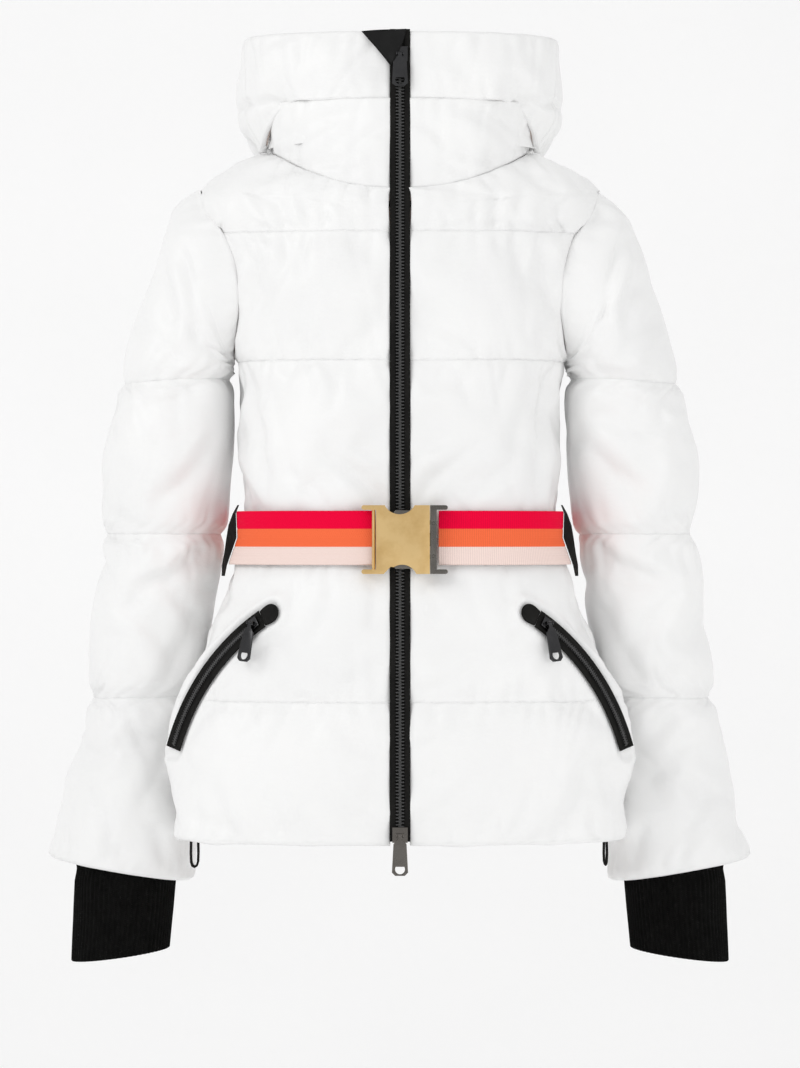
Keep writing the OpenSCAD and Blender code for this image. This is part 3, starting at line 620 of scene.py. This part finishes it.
def mat_metal(name, c0, c1, rough, mottled=90.0, brushed=0.0, spread=0.1):
    m, nt, b = material(name, c0, rough, 1.0, 0.5, 0, 0)
    o = coords(nt)
    vary(nt, b, noise(nt, o, mottled, 6, 0.65), c0, c1, 0.38, 0.62)
    remap(nt, b, "Roughness", noise(nt, o, mottled * 2.2, 4, 0.6), rough - spread, rough + spread)
    layers = [(noise(nt, o, 700, 3), 0.06, 0.0002)]
    if brushed:
        layers.append((noise(nt, coords(nt, "Object", (90, 90, 1400)), 1.0, 4, 0.6), brushed, 0.0003))
        layers.append((noise(nt, coords(nt, "Object", (1500, 200, 240)), 1.0, 3, 0.6), brushed * 0.5, 0.0002))
    bump(nt, b, layers)
    return m


def mat_gloss_black():
    m, nt, b = material("teeth_black", (0.02, 0.02, 0.02), 0.2, 0, 0.5, 0, 0.4)
    o = coords(nt)
    vary(nt, b, noise(nt, o, 300, 3), (0.016, 0.016, 0.016), (0.026, 0.026, 0.026))
    remap(nt, b, "Roughness", noise(nt, o, 500, 2), 0.14, 0.28)
    bump(nt, b, [(noise(nt, o, 600, 2), 0.1, 0.0002)])
    return m


def mat_belt():
    m, nt, b = material("belt_elastic", (0.9, 0.2, 0.1), 0.8, 0, 0.08, 0.0)
    uv = coords(nt, "UV")
    sep = node(nt, "ShaderNodeSeparateXYZ", {"Vector": uv})
    r = node(nt, "ShaderNodeValToRGB", {"Fac": sep.outputs["Y"]})
    r.color_ramp.interpolation = "CONSTANT"
    e = r.color_ramp.elements
    e[0].position, e[0].color = 0.0, (0.96, 0.77, 0.71, 1)
    e[1].position, e[1].color = 0.335, (1.0, 0.175, 0.066, 1)
    x = e.new(0.665)
    x.color = (0.93, 0.0005, 0.046, 1)
    ribs = wave(nt, uv, 150, "X")
    # painted shade: the stripe colour is darkened by up to 12 % where the rib height is low, in the grooves
    # between the ribs
    mix = node(nt, "ShaderNodeMix", {0: 0.12, 6: r.outputs["Color"], 7: ribs}, data_type="RGBA",
               blend_type="MULTIPLY")
    nt.links.new(mix.outputs[2], b.inputs["Base Color"])
    bump(nt, b, [(ribs, 0.35, 0.0004), (wave(nt, uv, 7.0, "Y"), 0.25, 0.0004),
                 (noise(nt, coords(nt), 900, 2), 0.2, 0.0003)])
    return m


def mat_rib():
    m, nt, b = material("rib_knit", (0.004, 0.004, 0.004), 0.95, 0, 0.08, 0.0)
    o = coords(nt)
    vary(nt, b, noise(nt, o, 120, 3), (0.0030, 0.0030, 0.0028), (0.0050, 0.0050, 0.0047))
    bump(nt, b, [(wave(nt, coords(nt, "UV"), 160, "Y", 0.5), 0.4, 0.0006),
                 (noise(nt, o, 700, 3), 0.4, 0.0005)])
    return m


WARM_BLACK = (0.006, 0.0058, 0.0052), (0.011, 0.0105, 0.0095)
M = {
    "shell": mat_shell(),
    "lining": mat_fabric("lining_taffeta", (0.60, 0.50, 0.45), (0.66, 0.56, 0.51), 0.5, 700, 0.1),
    "facing": mat_fabric("facing_black", (0.006, 0.006, 0.006), (0.010, 0.010, 0.010), 0.5, 600, 0.15, 0.0),
    "tape": mat_fabric("zip_tape_black", *WARM_BLACK, 0.75, 420, 0.35, 0.0),
    "web": mat_fabric("webbing_black", *WARM_BLACK, 0.7, 300, 0.4, 0.0),
    "rib": mat_rib(),
    "teeth": mat_gloss_black(),
    "black_metal": mat_metal("black_nickel", (0.045, 0.045, 0.047), (0.060, 0.060, 0.062), 0.22, 40, 0, 0.04),
    "gunmetal": mat_metal("gunmetal_polished", (0.125, 0.115, 0.105), (0.165, 0.155, 0.142), 0.24, 30,
                          0.05, 0.04),
    "brass": mat_metal("brass_brushed", (0.66, 0.44, 0.185), (0.76, 0.54, 0.255), 0.34, 38, 0.25, 0.09),
    "belt": mat_belt(),
}


# ---------------------------------------------------------------- mesh building
def set_uv(me, uv):
    """Give each corner of a mesh its vertex's UV."""
    idx = np.empty(len(me.loops), dtype=np.int64)
    me.loops.foreach_get("vertex_index", idx)
    me.uv_layers[0].data.foreach_set("uv", np.asarray(uv)[idx].astype(np.float32).ravel())


def new_piece(name, verts, faces, mat, body=None, uv=None):
    me = bpy.data.meshes.new(name)
    me.from_pydata((np.asarray(verts) * MM).tolist(), [], [tuple(int(k) for k in f) for f in faces])
    if uv is not None:
        me.uv_layers.new(name="UVMap")
        set_uv(me, uv)
    me.polygons.foreach_set("use_smooth", [True] * len(me.polygons))
    me.materials.append(mat)
    ob = add_object(name, me)
    if body:
        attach(ob, body)
    return ob


def cubic(p, k, axis, closed):
    """Catmull-Rom resampling: k new spans for each old one along an axis."""
    p = np.moveaxis(p, axis, 0)
    n = len(p)
    m = n * k if closed else (n - 1) * k + 1
    x = np.arange(m) / k
    i = np.minimum(np.floor(x).astype(int), n - 1 if closed else n - 2)
    t = (x - i).reshape(-1, *([1] * (p.ndim - 1)))
    g = (lambda q: p[q % n]) if closed else (
        lambda q: np.where((q < 0).reshape(t.shape), 2 * p[0] - p[1],
                           np.where((q >= n).reshape(t.shape), 2 * p[-1] - p[-2], p[np.clip(q, 0, n - 1)])))
    a, b, c, d = g(i - 1), g(i), g(i + 1), g(i + 2)
    square, cube = 2 * a - 5 * b + 4 * c - d, 3 * b - a - 3 * c + d
    out = 0.5 * ((2 * b) + (c - a) * t + square * t * t + cube * t ** 3)
    return np.moveaxis(out, 0, axis)


def puckers(seed, along, dist, amp=1.35, reach=1.0, gap=14.0):
    """Gathers that run out of a seam: narrow creases of random place, slant, depth and length (mm)."""
    r = np.random.default_rng(seed)
    total = float(np.max(along))
    n = max(2, int(total / gap))
    x = (np.arange(n) + r.uniform(-0.4, 0.4, n)) * total / n
    f = np.zeros(np.broadcast(along, dist).shape)
    for k in range(n):
        w, ln = r.uniform(2.6, 4.8), r.gamma(2.2, 9.0) * reach + 6
        u = np.abs(along - x[k] - dist * r.normal(0, 0.22)) / w
        crease = np.exp(-u ** 1.4) - 0.32 * np.exp(-((u - 2.4) / 1.2) ** 2)
        f -= r.uniform(0.5, 1.5) * crease * np.exp(-(dist / ln) ** 1.5)
    return amp * f * (1 - np.exp(-dist / 1.5))


def smooth_line(d, closed):
    """Even out directions along an edge, so that a turned edge stays straight."""
    n = len(d)
    k = max(3, n // 12)
    w = np.hanning(2 * k + 3)[1:-1]
    idx = np.arange(n)[:, None] + np.arange(-k, k + 1)[None, :]
    idx = idx % n if closed else np.clip(idx, 0, n - 1)
    out = (d[idx] * w[None, :, None]).sum(1)
    return out / np.maximum(np.linalg.norm(out, axis=-1, keepdims=True), 1e-6)


def add_edges(p, p0, n0, edges, closed):
    """Turned edges: (in, out) offsets in mm, along an edge's smoothed normal and its outward direction."""
    for which in ("low", "high", "first", "last"):
        offs = (edges or {}).get(which)
        if not offs:
            continue
        start, across = which in ("low", "first"), which in ("first", "last")
        if across:
            p, p0, n0 = (a.swapaxes(0, 1) for a in (p, p0, n0))
        i, k = (0, 3) if start else (-1, -4)
        around = closed and not across
        base, nn, out = p[i], smooth_line(n0[i], around), smooth_line(p0[i] - p0[k], around)
        if around:
            away = base - base.mean(0)
            nn = 0.5 * nn + away / np.linalg.norm(away, axis=-1, keepdims=True)
            nn = nn / np.maximum(np.linalg.norm(nn, axis=-1, keepdims=True), 1e-6)
        extra = [base - nn * a + out * b for a, b in offs]
        p = np.stack(extra[::-1] + list(p) if start else list(p) + extra)
        more_p, more_n = [p0[i]] * len(offs), [n0[i]] * len(offs)
        p0 = np.stack(more_p + list(p0) if start else list(p0) + more_p)
        n0 = np.stack(more_n + list(n0) if start else list(n0) + more_n)
        if across:
            p, p0, n0 = (a.swapaxes(0, 1) for a in (p, p0, n0))
    return np.ascontiguousarray(p)


SIDE_GATHER = 0.45, 0.5, 26  # amplitude, reach and gap of the gathers along an upright seam


def cloth_piece(name, gname, r0, r1, c0, c1, mat, body, seed, seams=(1, 1, 1, 1), edges=None):
    """One baffle: rows r0..r1 and columns c0..c1 of a grid, resampled, puckered, with turned edges."""
    g = GRIDS[gname]
    closed, flip = g["closed"], g["flip"]
    p = g["out"][r0:r1 + 1] if closed else g["out"][r0:r1 + 1, c0:c1 + 1]
    k = 2
    p = cubic(cubic(p, k, 0, False), k, 1, closed)
    n = normals(p, closed, flip)
    plain = p
    lu, lv = lengths(p, 1), lengths(p, 0)
    runs = [(lu, lv), (lu, lv[-1:] - lv), (lv, lu, *SIDE_GATHER), (lv, lu[:, -1:] - lu, *SIDE_GATHER)]
    h = sum(puckers(seed + k, *runs[k]) for k in range(2 if closed else 4) if seams[k])
    if gname == "hood":
        h = h * smoothstep(0, 14, lu) * smoothstep(0, 14, lu[:, -1:] - lu)
    p = p + n * (h * np.ones(p.shape[:2]))[..., None]
    p = add_edges(p, plain, n, edges, closed)
    if name.split("_")[0] in ("hip", "hem", "midriff"):
        p = pocket_clear(pocket_clear(p, 1.0), -1.0)
    r, c = p.shape[:2]
    lu, lv = lengths(p, 1), lengths(p, 0)
    lv = np.broadcast_to(lv.mean(1, keepdims=True), (r, c))
    uv = np.stack([lu, lv], -1).reshape(-1, 2) * MM
    ob = new_piece(name, p.reshape(-1, 3), quads(r, c, closed, flip), mat, body, uv=uv)
    return ob


HEM_EDGE = [(2.5, 2.6), (6.5, 2.8), (9.0, 0.5), (9.5, -16.0)]
ZIP_EDGE = [(1.0, 0.9), (3.2, 1.2), (7.0, 0.8)]
SIDE_EDGE = [(0.9, 1.2), (2.2, 3.0), (6.0, 4.0)]
SEAM_EDGE = [(0.8, 0.5), (2.2, 1.4), (5.0, 2.0)]
CUFF_EDGE = [(3, 2.5), (9, 2.5), (15, -1.0), (20.5, -9.0)]
ARMHOLE_EDGE = [(0.8, 1.5), (2.6, 4.5), (7.0, 8.5), (12.0, 11.0)]
COLLAR_TOP = [(2, 0.5), (7, -1.0), (8, -40.0)]
RIM = {"low": [(1.5, 1.0), (5, 1.2), (7.5, -1), (8, -12)],
       "high": [(2.0, 2.2), (6.0, 2.4), (8.5, 0), (9.0, -24.0)]}
TN = ["hem", "hip", "midriff", "chest", "yoke"]
bounds_rows = seam_rows[:5] + [ROWS_T - 1]
for gi, (gname, suffix) in enumerate(PANELS):
    for li, lev in enumerate(TN):
        r0, r1 = bounds_rows[li], bounds_rows[li + 1]
        cols = GRIDS[gname]["p"].shape[1]
        edges = {"first": SIDE_EDGE if suffix == "back" else ZIP_EDGE, "last": SIDE_EDGE,
                 "low": HEM_EDGE if li == 0 else SEAM_EDGE, "high": SEAM_EDGE}
        ob = cloth_piece(f"{lev}_{suffix}_baffle", gname, r0, r1, 0, cols - 1, M["shell"], "shell",
                         100 * gi + 10 * li, edges=edges)
        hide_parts(f"{lev}_{suffix}")
SN = ["end", "lower", "upper", "head"]
ARM_START = {1: (0.1785, -0.06, -0.08), -1: (-0.1785, -0.06, -0.08)}
for si, (side, s) in enumerate(SIDES):
    for li, lev in enumerate(SN):
        r0 = sleeve_seams[li]
        r1 = sleeve_seams[li + 1] if li < 3 else len(qs) - 1
        edges = {"low": CUFF_EDGE if lev == "end" else SEAM_EDGE,
                 "high": ARMHOLE_EDGE if lev == "head" else SEAM_EDGE}
        ob = cloth_piece(f"sleeve_{lev}_{side}_baffle", "sleeve_" + side, r0, r1, 0, NS - 1, M["shell"], None,
                         500 + 100 * si + 10 * li, edges=edges)
        if lev == "end":
            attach(ob, "sleeve_" + side)
        else:
            a = Vector(ARM_START[s])
            b = a + Vector((0.973 * s, 0, -0.23)) * 0.085
            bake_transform(ob)
        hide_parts(f"sleeve_{lev}_{side}")
for si, side in enumerate(("left", "right")):
    ob = cloth_piece(f"collar_{side}_half", "collar_" + side, 0, RC - 1, 0, NC - 1, M["shell"], "shell",
                     800 + 10 * si, edges={"first": ZIP_EDGE, "low": SIDE_EDGE, "high": COLLAR_TOP})
    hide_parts("collar_" + side)
for nm, c0, c1, nd in (("hood_brim_left", 0, SIDE_COL, "brim_left"),
                       ("hood_bag_left", SIDE_COL, NH // 2, "hood_left"),
                       ("hood_bag_right", NH // 2, NH - 1 - SIDE_COL, "hood_right"),
                       ("hood_brim_right", NH - 1 - SIDE_COL, NH - 1, "brim_right")):
    ob = cloth_piece(nm, "hood", 0, RH - 1, c0, c1, M["shell"], "shell", 900 + c0, seams=(1, 1, 0, 0),
                     edges={**RIM, "first": ZIP_EDGE if c0 == 0 else SEAM_EDGE,
                            "last": ZIP_EDGE if c1 == NH - 1 else SEAM_EDGE})
    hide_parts(nd)


def plain_grid(name, p, mat, body, flip=False, closed=False):
    """A piece made of one grid of points, with its own lengths as UVs."""
    r, c = p.shape[:2]
    uv = np.stack([lengths(p, 1), lengths(p, 0)], -1).reshape(-1, 2) * MM
    ob = new_piece(name, p.reshape(-1, 3), quads(r, c, closed, flip), mat, body, uv=uv)
    return ob


# lining behind the baffles
for gname, suffix in PANELS:
    g = GRIDS[gname]
    sel = np.arange(3, ROWS_T, 3)
    p, n = g["p"][sel][:, ::2], g["n"][sel][:, ::2]
    u = lengths(p, 1)
    fold = 1.2 * np.sin(u / 17.0 + 0.02 * p[..., 2]) * (1 - smoothstep(-60, -20, p[..., 2]))
    p = p - n * (8.6 + fold)[..., None]
    ob = plain_grid("lining_" + suffix + "_sheet", p, M["lining"], "shell", flip=g["flip"])
    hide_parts("lining_" + suffix)
g = GRIDS["hood"]
p = (g["p"] - g["n"] * (8.0 + g["tuck"])[..., None])[1:-1]
ob = plain_grid("hood_lining", p, M["lining"], "shell")
for side in ("left", "right"):
    g = GRIDS["collar_" + side]
    p = g["p"] - g["n"] * 8.5
    ob = plain_grid("collar_lining_" + side, p, M["lining"], "shell", flip=g["flip"])

# knit cuffs: fine ribs, a little ease
CUFF = np.array([[263, -606, 54, 49, 0], [262, -640, 50, 47, 0], [265, -652, 49, 46, 0],
                 [267, -690, 48, 45, -1],
                 [270, -728, 47, 43, -3]], float)
for side, s in SIDES:
    nr, nc = ((64, 480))
    v = np.linspace(0, 1, nr)
    row = np.stack([np.interp(v, [0, 0.28, 0.38, 0.69, 1], CUFF[:, i]) for i in range(5)], -1)[::-1]
    f = np.arange(nc) * 2 * math.pi / nc
    rib = 0.55 * np.sign(np.sin(f * 60)) * np.abs(np.sin(f * 60)) ** 0.6
    ease = 0.7 * np.sin(f * 3 + 0.8)[None, :] * np.sin(v * 5)[:, None] + 0.5 * np.sin(f * 5)[None, :]
    rr = rib[None, :] + ease
    x = row[:, 0:1] + (row[:, 2:3] + rr) * np.cos(f)
    y = row[:, 4:5] + (row[:, 3:4] + rr) * np.sin(f)
    z = row[:, 1:2] - 6.3 * np.cos(f)[None, :] * (row[:, 1:2] < -630)
    p = np.stack([x, y, z + 0 * x], -1)
    cx, cz, rx, ry, cy = row[0]
    roll = [np.stack([cx + (rx - a + rib) * np.cos(f), cy + (ry - a + rib) * np.sin(f),
                      cz - 6.3 * np.cos(f) + b], -1)
            for a, b in ((1.0, -0.8), (2.2, -0.4), (3.0, 2.0), (3.2, 40.0))]
    p = np.stack(roll[::-1] + list(p))
    if s < 0:
        p = mirrored(p)
    ob = plain_grid("knit_cuff_" + side, p, M["rib"], "sleeve_" + side, flip=s < 0, closed=True)
    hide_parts("cuff_" + side)


# ---------------------------------------------------------------- hard parts: CAD shapes with rounded edges
def softened(nd, mat, width, body):
    """A copy of a CAD node with its edges rounded by width mm."""
    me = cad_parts[nd].data.copy()
    me.name = nd + "_mesh"
    ob = add_object(nd + "_finish", me)
    me.materials.clear()
    me.materials.append(mat)
    bm = bmesh.new()
    bm.from_mesh(me)
    bmesh.ops.remove_doubles(bm, verts=bm.verts, dist=2e-6)
    bmesh.ops.dissolve_limit(bm, angle_limit=math.radians(1.0), verts=bm.verts, edges=bm.edges)
    edges = [e for e in bm.edges if len(e.link_faces) == 2 and e.calc_face_angle(0) > math.radians(28)]
    bmesh.ops.bevel(bm, geom=edges, offset=width * MM, segments=2, profile=0.6, affect="EDGES",
                    clamp_overlap=True)
    bmesh.ops.triangulate(bm, faces=[f for f in bm.faces if len(f.verts) > 4])
    bm.to_mesh(me)
    bm.free()
    me.polygons.foreach_set("use_smooth", [True] * len(me.polygons))
    me.set_sharp_from_angle(angle=math.radians(38))
    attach(ob, body)
    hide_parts(nd)
    return ob


HARD = [("buckle_plug", "plug", "gunmetal", "gunmetal"), ("prong_top", "prong_top", "gunmetal", "gunmetal"),
        ("prong_bottom", "prong_bottom", "gunmetal", "gunmetal"),
        ("buckle_socket", "shell", "brass", "brushed_brass"), ("belt_loop_left", "shell", "web", "webbing"),
        ("belt_loop_right", "shell", "web", "webbing")]
METAL = {"top_": "black_metal", "bottom_": "gunmetal", "pocket_": "black_metal"}
MOVING = ["top_slider", "top_puller", "bottom_slider", "bottom_puller", "pocket_slider_left",
          "pocket_puller_left", "pocket_slider_right", "pocket_puller_right"]
ROUNDING = {"buckle_socket": 0.9, "buckle_plug": 0.7}
for nd, body, mat, slot in [(n, n, *[METAL[n[:n.index("_") + 1]]] * 2) for n in MOVING] + HARD:
    softened(nd, M[mat], ROUNDING.get(nd, 0.3), body)
for nd, mat in (("zip_tape_left", "tape"), ("zip_tape_right", "tape"), ("hanger_loop", "web")):
    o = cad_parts[nd]
    o.data.materials.clear()
    o.data.materials.append(M[mat])


# ---------------------------------------------------------------- zips
def rounded_block(w, d, h, bevel=0.35):
    bm = bmesh.new()
    bmesh.ops.create_cube(bm, size=1.0)
    for v in bm.verts:
        v.co = (v.co.x * w, v.co.y * d, v.co.z * h)
    bmesh.ops.bevel(bm, geom=bm.edges[:], offset=bevel, segments=2, profile=0.7, affect="EDGES")
    bm.verts.ensure_lookup_table()
    v = np.array([list(x.co) for x in bm.verts])
    bm.verts.index_update()
    f = [[x.index for x in fc.verts] for fc in bm.faces]
    bm.free()
    return v, f


def teeth_mesh(name, places, mat, body, w, d, h, bevel):
    """places: list of (origin, x axis, y axis, z axis) arrays; one rounded tooth at each."""
    v, f = rounded_block(w, d, h, bevel)
    # a head: wider towards the free end
    v = v.copy()
    v[:, 2] *= np.where(v[:, 0] < 0, 1.12, 0.85)
    verts, faces = [], []
    for k, (o, ax, ay, az) in enumerate(places):
        verts.append(o + v[:, :1] * ax + v[:, 1:2] * ay + v[:, 2:3] * az)
        faces += [[i + k * len(v) for i in fc] for fc in f]
    return new_piece(name, np.concatenate(verts), faces, mat, body)


CL, SL = math.cos(LEAN), math.sin(LEAN)
ZX, ZY, ZZ = np.array([1.0, 0, 0]), np.array([0, CL, -SL]), np.array([0, SL, CL])
ZO = np.array([0, ZIP_Y, float(TOP_Z)])
PITCH, S0, S1 = 3.1, 18.0, 747.0
for side, s, odd in (("left", 1, 0), ("right", -1, 1)):
    places = []
    for k in range(int((S1 - S0) / PITCH) - 1):
        c = S1 - S0 - (k + 0.5 + odd / 2) * PITCH
        o = ZO - ZZ * (S0 + c) + ZX * (1.35 * s)
        places.append((o, ZX * s, ZY, ZZ))
    ob = teeth_mesh("teeth_row_" + side, places, M["teeth"], "shell", 5.2, 3.3, 1.5, 0.42)
    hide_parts("zip_teeth_" + side)

# the tapes meet behind the teeth
rows = [[ZO - ZZ * c + ZX * x + ZY * 0.7 for x in np.linspace(-4.8, 4.8, 9)]
        for c in np.linspace(3, S1 - 2, 120)]
ob = plain_grid("zip_tape_middle", np.array(rows)[::-1], M["tape"], "shell")

for side, s in SIDES:
    sg = np.array([s, 1, 1.0])
    ct, st_ = math.cos(POCKET_TILT), math.sin(POCKET_TILT)

    def at(a, rho, up):
        """Point on the pocket zip: a degrees along, rho across, up off the tape."""
        a = np.radians(a)
        er = np.cos(a)[..., None] * PE1 + np.sin(a)[..., None] * PE2
        r = POCKET_R + rho * ct + up * st_
        return POCKET_O + er * r[..., None] + PA * (rho * st_ - up * ct)[..., None]
    a = np.linspace(2.5, 2.5 + POCKET_SWEEP, 120)
    prof = np.array([[-9.0, -0.4], [-8.8, 0.35], [-8.0, 0.6], [-3.2, 0.5], [-3.0, 0.2], [3.0, 0.2],
                     [3.2, 0.5],
                     [8.0, 0.6], [8.8, 0.35], [9.0, -0.4]])
    A, R = np.meshgrid(a, prof[:, 0], indexing="ij")
    U = np.broadcast_to(prof[:, 1], A.shape)
    p = at(A, R, U) * sg
    ob = plain_grid("pocket_tape_" + side, p, M["tape"], "shell", flip=s > 0)
    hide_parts("pocket_zip_" + side)
    places = []
    pitch = 2.3 / POCKET_R * 180 / math.pi
    for k in range(int((POCKET_SWEEP - 2.2) / pitch) - 1):
        for half in (1, -1):
            aa = np.array(4.8 + (k + (0.25 if half > 0 else 0.75)) * pitch)
            o = at(aa, np.array(0.85 * half), np.array(0.2))
            e = at(aa, np.array(1.85 * half), np.array(0.2)) - o
            t = at(aa + 0.05, np.array(0.85 * half), np.array(0.2)) - o
            t = t / np.linalg.norm(t)
            up = np.cross(e, t)
            up = up / np.linalg.norm(up)
            places.append((o * sg, e * sg, up * sg, t * sg))
    ob = teeth_mesh("pocket_teeth_" + side, places, M["teeth"], "shell", 3.5, 2.6, 1.15, 0.32)
    # rounded end patch: half a disc, then straight sides up to the band
    rr = np.array([0, 0.35, 0.7, 0.86, 0.9, 0.95, 0.985, 1.0, 1.0])
    hh = np.array([0.9, 0.9, 0.88, 0.8, 0.95, 0.85, 0.6, 0.1, -0.8])
    f = np.arange(96) * 2 * math.pi / 96
    ex = 9.0 * np.cos(f)
    ey = np.where(np.sin(f) < 0, 9.0 * np.sin(f), np.minimum(9.2, 16 * np.sin(f)))
    RR, EX = np.meshgrid(rr, ex, indexing="ij")
    EY = np.meshgrid(rr, ey, indexing="ij")[1]
    H = np.broadcast_to(hh[:, None], RR.shape)
    p = at(np.degrees(RR * EY / POCKET_R), RR * EX, H) * sg
    ob = plain_grid("pocket_patch_cover_" + side, p, M["web"], "shell", flip=s < 0, closed=True)
    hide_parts("pocket_patch_" + side)

# ---------------------------------------------------------------- belt
T0, T1 = float(t_at_x(35.0, WAIST_Z, BELT_OFF)), 2 * math.pi - float(t_at_x(24.0, WAIST_Z, BELT_OFF))
T_SPLIT = math.radians(83)


def belt_pt(t, h, o):
    """h is mm above the middle line, o the offset from the shell."""
    ct = np.cos(t)
    f = np.where(ct > 0, 0.02 + 0.32 * np.abs(np.sin(t)) ** 1.4, 0.34)
    add = np.where(h < 0, -h * f, h * (0.04 + 0.22 * np.maximum(0, -ct)))
    off = o + add
    c = ty(WAIST_Z)
    d = np.where(ct > 0, c - front_y(WAIST_Z), tb(WAIST_Z) - c) + off
    x = (tw(WAIST_Z) + off) * sp(np.sin(t), 2 / RN)
    y = c - d * sp(ct, 2 / RN) + h * SLOPE * np.clip(ct, 0, None)
    return np.stack([x, y, WAIST_Z + h + 0 * t], -1)


prof = []
for h in np.linspace(-25, 25, 31):
    groove = 0.35 * (np.exp(-((h - 8.3) / 0.5) ** 2) + np.exp(-((h + 8.3) / 0.5) ** 2))
    edge = 0.5 * (abs(h) > 24.4)
    prof.append((h, BELT_OFF + BELT_T - 0.1 - groove - edge))
prof = np.array([(-25, BELT_OFF + 0.3)] + prof + [(25, BELT_OFF + 0.3)])
for nm, a, b in (("belt_plug_side", T0, T_SPLIT), ("belt_main", T_SPLIT, T1)):
    n = 90 if nm == "belt_plug_side" else 360
    t = np.linspace(a, b, n)
    H, T = np.meshgrid(prof[:, 0], t, indexing="ij")
    O = np.broadcast_to(prof[:, 1:2], H.shape)
    p = belt_pt(T, H, O)
    ob = plain_grid(nm, p, M["belt"], None)
    v = np.clip((H + 25) / 50, 0.001, 0.999)
    set_uv(ob.data, np.stack([lengths(p, 1) * MM, v], -1).reshape(-1, 2))
    if nm == "belt_plug_side":
        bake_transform(ob)
    else:
        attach(ob, "shell")
        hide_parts("elastic_belt")

# ---------------------------------------------------------------- small soft parts
# black facing turned out at the top of the zip
A_, B_, C_ = np.array([-36.0, -6.2, 0.0]), np.array([6.0, -4.9, 2.6]), np.array([-9.0, -5.4, -31.0])
rows = []
for v in np.linspace(0, 1, 16):
    l, r = A_ + (C_ - A_) * v, B_ + (C_ + np.array([1.6, 0, 0]) - B_) * v
    line = []
    for u in np.linspace(0, 1, 18):
        q = l + (r - l) * u
        q = q + np.array([0, -1.6 * math.sin(math.pi * u) * (1 - v) - 0.7 * math.sin(6 * u + 3 * v), 0])
        q[0] += 1.8 * math.sin(math.pi * v) * u
        line.append(ZO + ZX * q[0] + ZY * (q[1] + 1.2) + ZZ * q[2])
    rows.append(line)
p = np.array(rows)[::-1]
ob = plain_grid("top_facing", p, M["facing"], "shell")
sol = ob.modifiers.new("thick", "SOLIDIFY")
sol.thickness = 0.0008
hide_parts("zip_facing")

# folded strap tabs behind the hem
path = [(0.3, 7.0), (0.2, -4.0), (0.0, -14.0), (0.3, -22.0), (1.2, -25.0), (2.5, -25.9), (3.8, -25.0),
        (4.7, -22.0),
        (5.0, -14.0), (4.8, -4.0), (4.7, 7.0)]
for side, s in SIDES:
    ys = np.linspace(-142.3, -131.7, 8)
    p = np.array([[(s * (188.5 + a), y, HEM_Z + b) for y in ys] for a, b in path])
    ob = plain_grid("hem_tab_" + side, p, M["web"], "shell")
    sol = ob.modifiers.new("thick", "SOLIDIFY")
    sol.thickness = 0.0020
    if s > 0:
        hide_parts("hem_tabs")

# ---------------------------------------------------------------- studio
FLOOR_Z, WALL_R, WALL_Y, PAPER_X = -1150, 900, 1500, 30000
prof = [(-30000, FLOOR_Z), (WALL_Y, FLOOR_Z)]
for k in range(1, 11):
    turn = k * math.pi / 20
    prof.append((WALL_Y + WALL_R * math.sin(turn), FLOOR_Z + WALL_R * (1 - math.cos(turn))))
prof.append((WALL_Y + WALL_R, 5000))
pts = [(x, y, z) for y, z in prof for x in (-PAPER_X, PAPER_X)]
fcs = [(k, k + 1, k + 3, k + 2) for k in range(0, 2 * len(prof) - 2, 2)]
m, nt, b = material("studio_paper", (0.98, 0.98, 0.98), 0.95, 0, 0.05)
vary(nt, b, noise(nt, coords(nt), 3), (0.975, 0.975, 0.975), (0.985, 0.985, 0.985))
b.inputs["Emission Color"].default_value = (1, 1, 1, 1)
b.inputs["Emission Strength"].default_value = 0.05
# seen from behind, the paper is clear, so that it never stands between a view and the jacket
clear, mix = node(nt, "ShaderNodeBsdfTransparent"), node(nt, "ShaderNodeMixShader")
nt.links.new(node(nt, "ShaderNodeNewGeometry").outputs["Backfacing"], mix.inputs["Fac"])
nt.links.new(b.outputs[0], mix.inputs[1])
nt.links.new(clear.outputs[0], mix.inputs[2])
nt.links.new(mix.outputs[0], nt.nodes["Material Output"].inputs["Surface"])
floor = new_piece("studio_floor", pts, fcs, m)

world = bpy.context.scene.world or bpy.data.worlds.new("studio")
bpy.context.scene.world = world
world.use_nodes = True
bg = world.node_tree.nodes["Background"]
bg.inputs["Color"].default_value = (1, 1, 1, 1)
bg.inputs["Strength"].default_value = 0.77


def area_light(name, loc, target, size, power):
    d = bpy.data.lights.new(name, "AREA")
    d.shape = "RECTANGLE"
    d.size, d.size_y = size
    d.energy = power
    o = add_object(name, d)
    o.location = loc
    o.rotation_euler = (Vector(target) - Vector(loc)).to_track_quat("-Z", "Y").to_euler()


MID = (0, -0.1, -0.32)
area_light("key", (-2.1, -2.0, 1.3), MID, (1.4, 1.4), 20)
area_light("fill", (2.0, -2.4, -0.5), (0, -0.1, -0.5), (1.6, 1.6), 10)

cam = bpy.data.cameras.new("camera")
co = add_object("camera", cam)
CAM_Y, PLANE_Y = -3.65, -0.10
cam.sensor_fit = "VERTICAL"
cam.sensor_height = 36.0
cam.lens = 36.0 * (PLANE_Y - CAM_Y) / 1.004
co.location = (0.0, CAM_Y, -0.3234)
co.rotation_euler = (math.radians(90), 0, 0)
cam.clip_start, cam.clip_end = 0.1, 50
bpy.context.scene.camera = co
bpy.context.scene.view_settings.view_transform = "Standard"
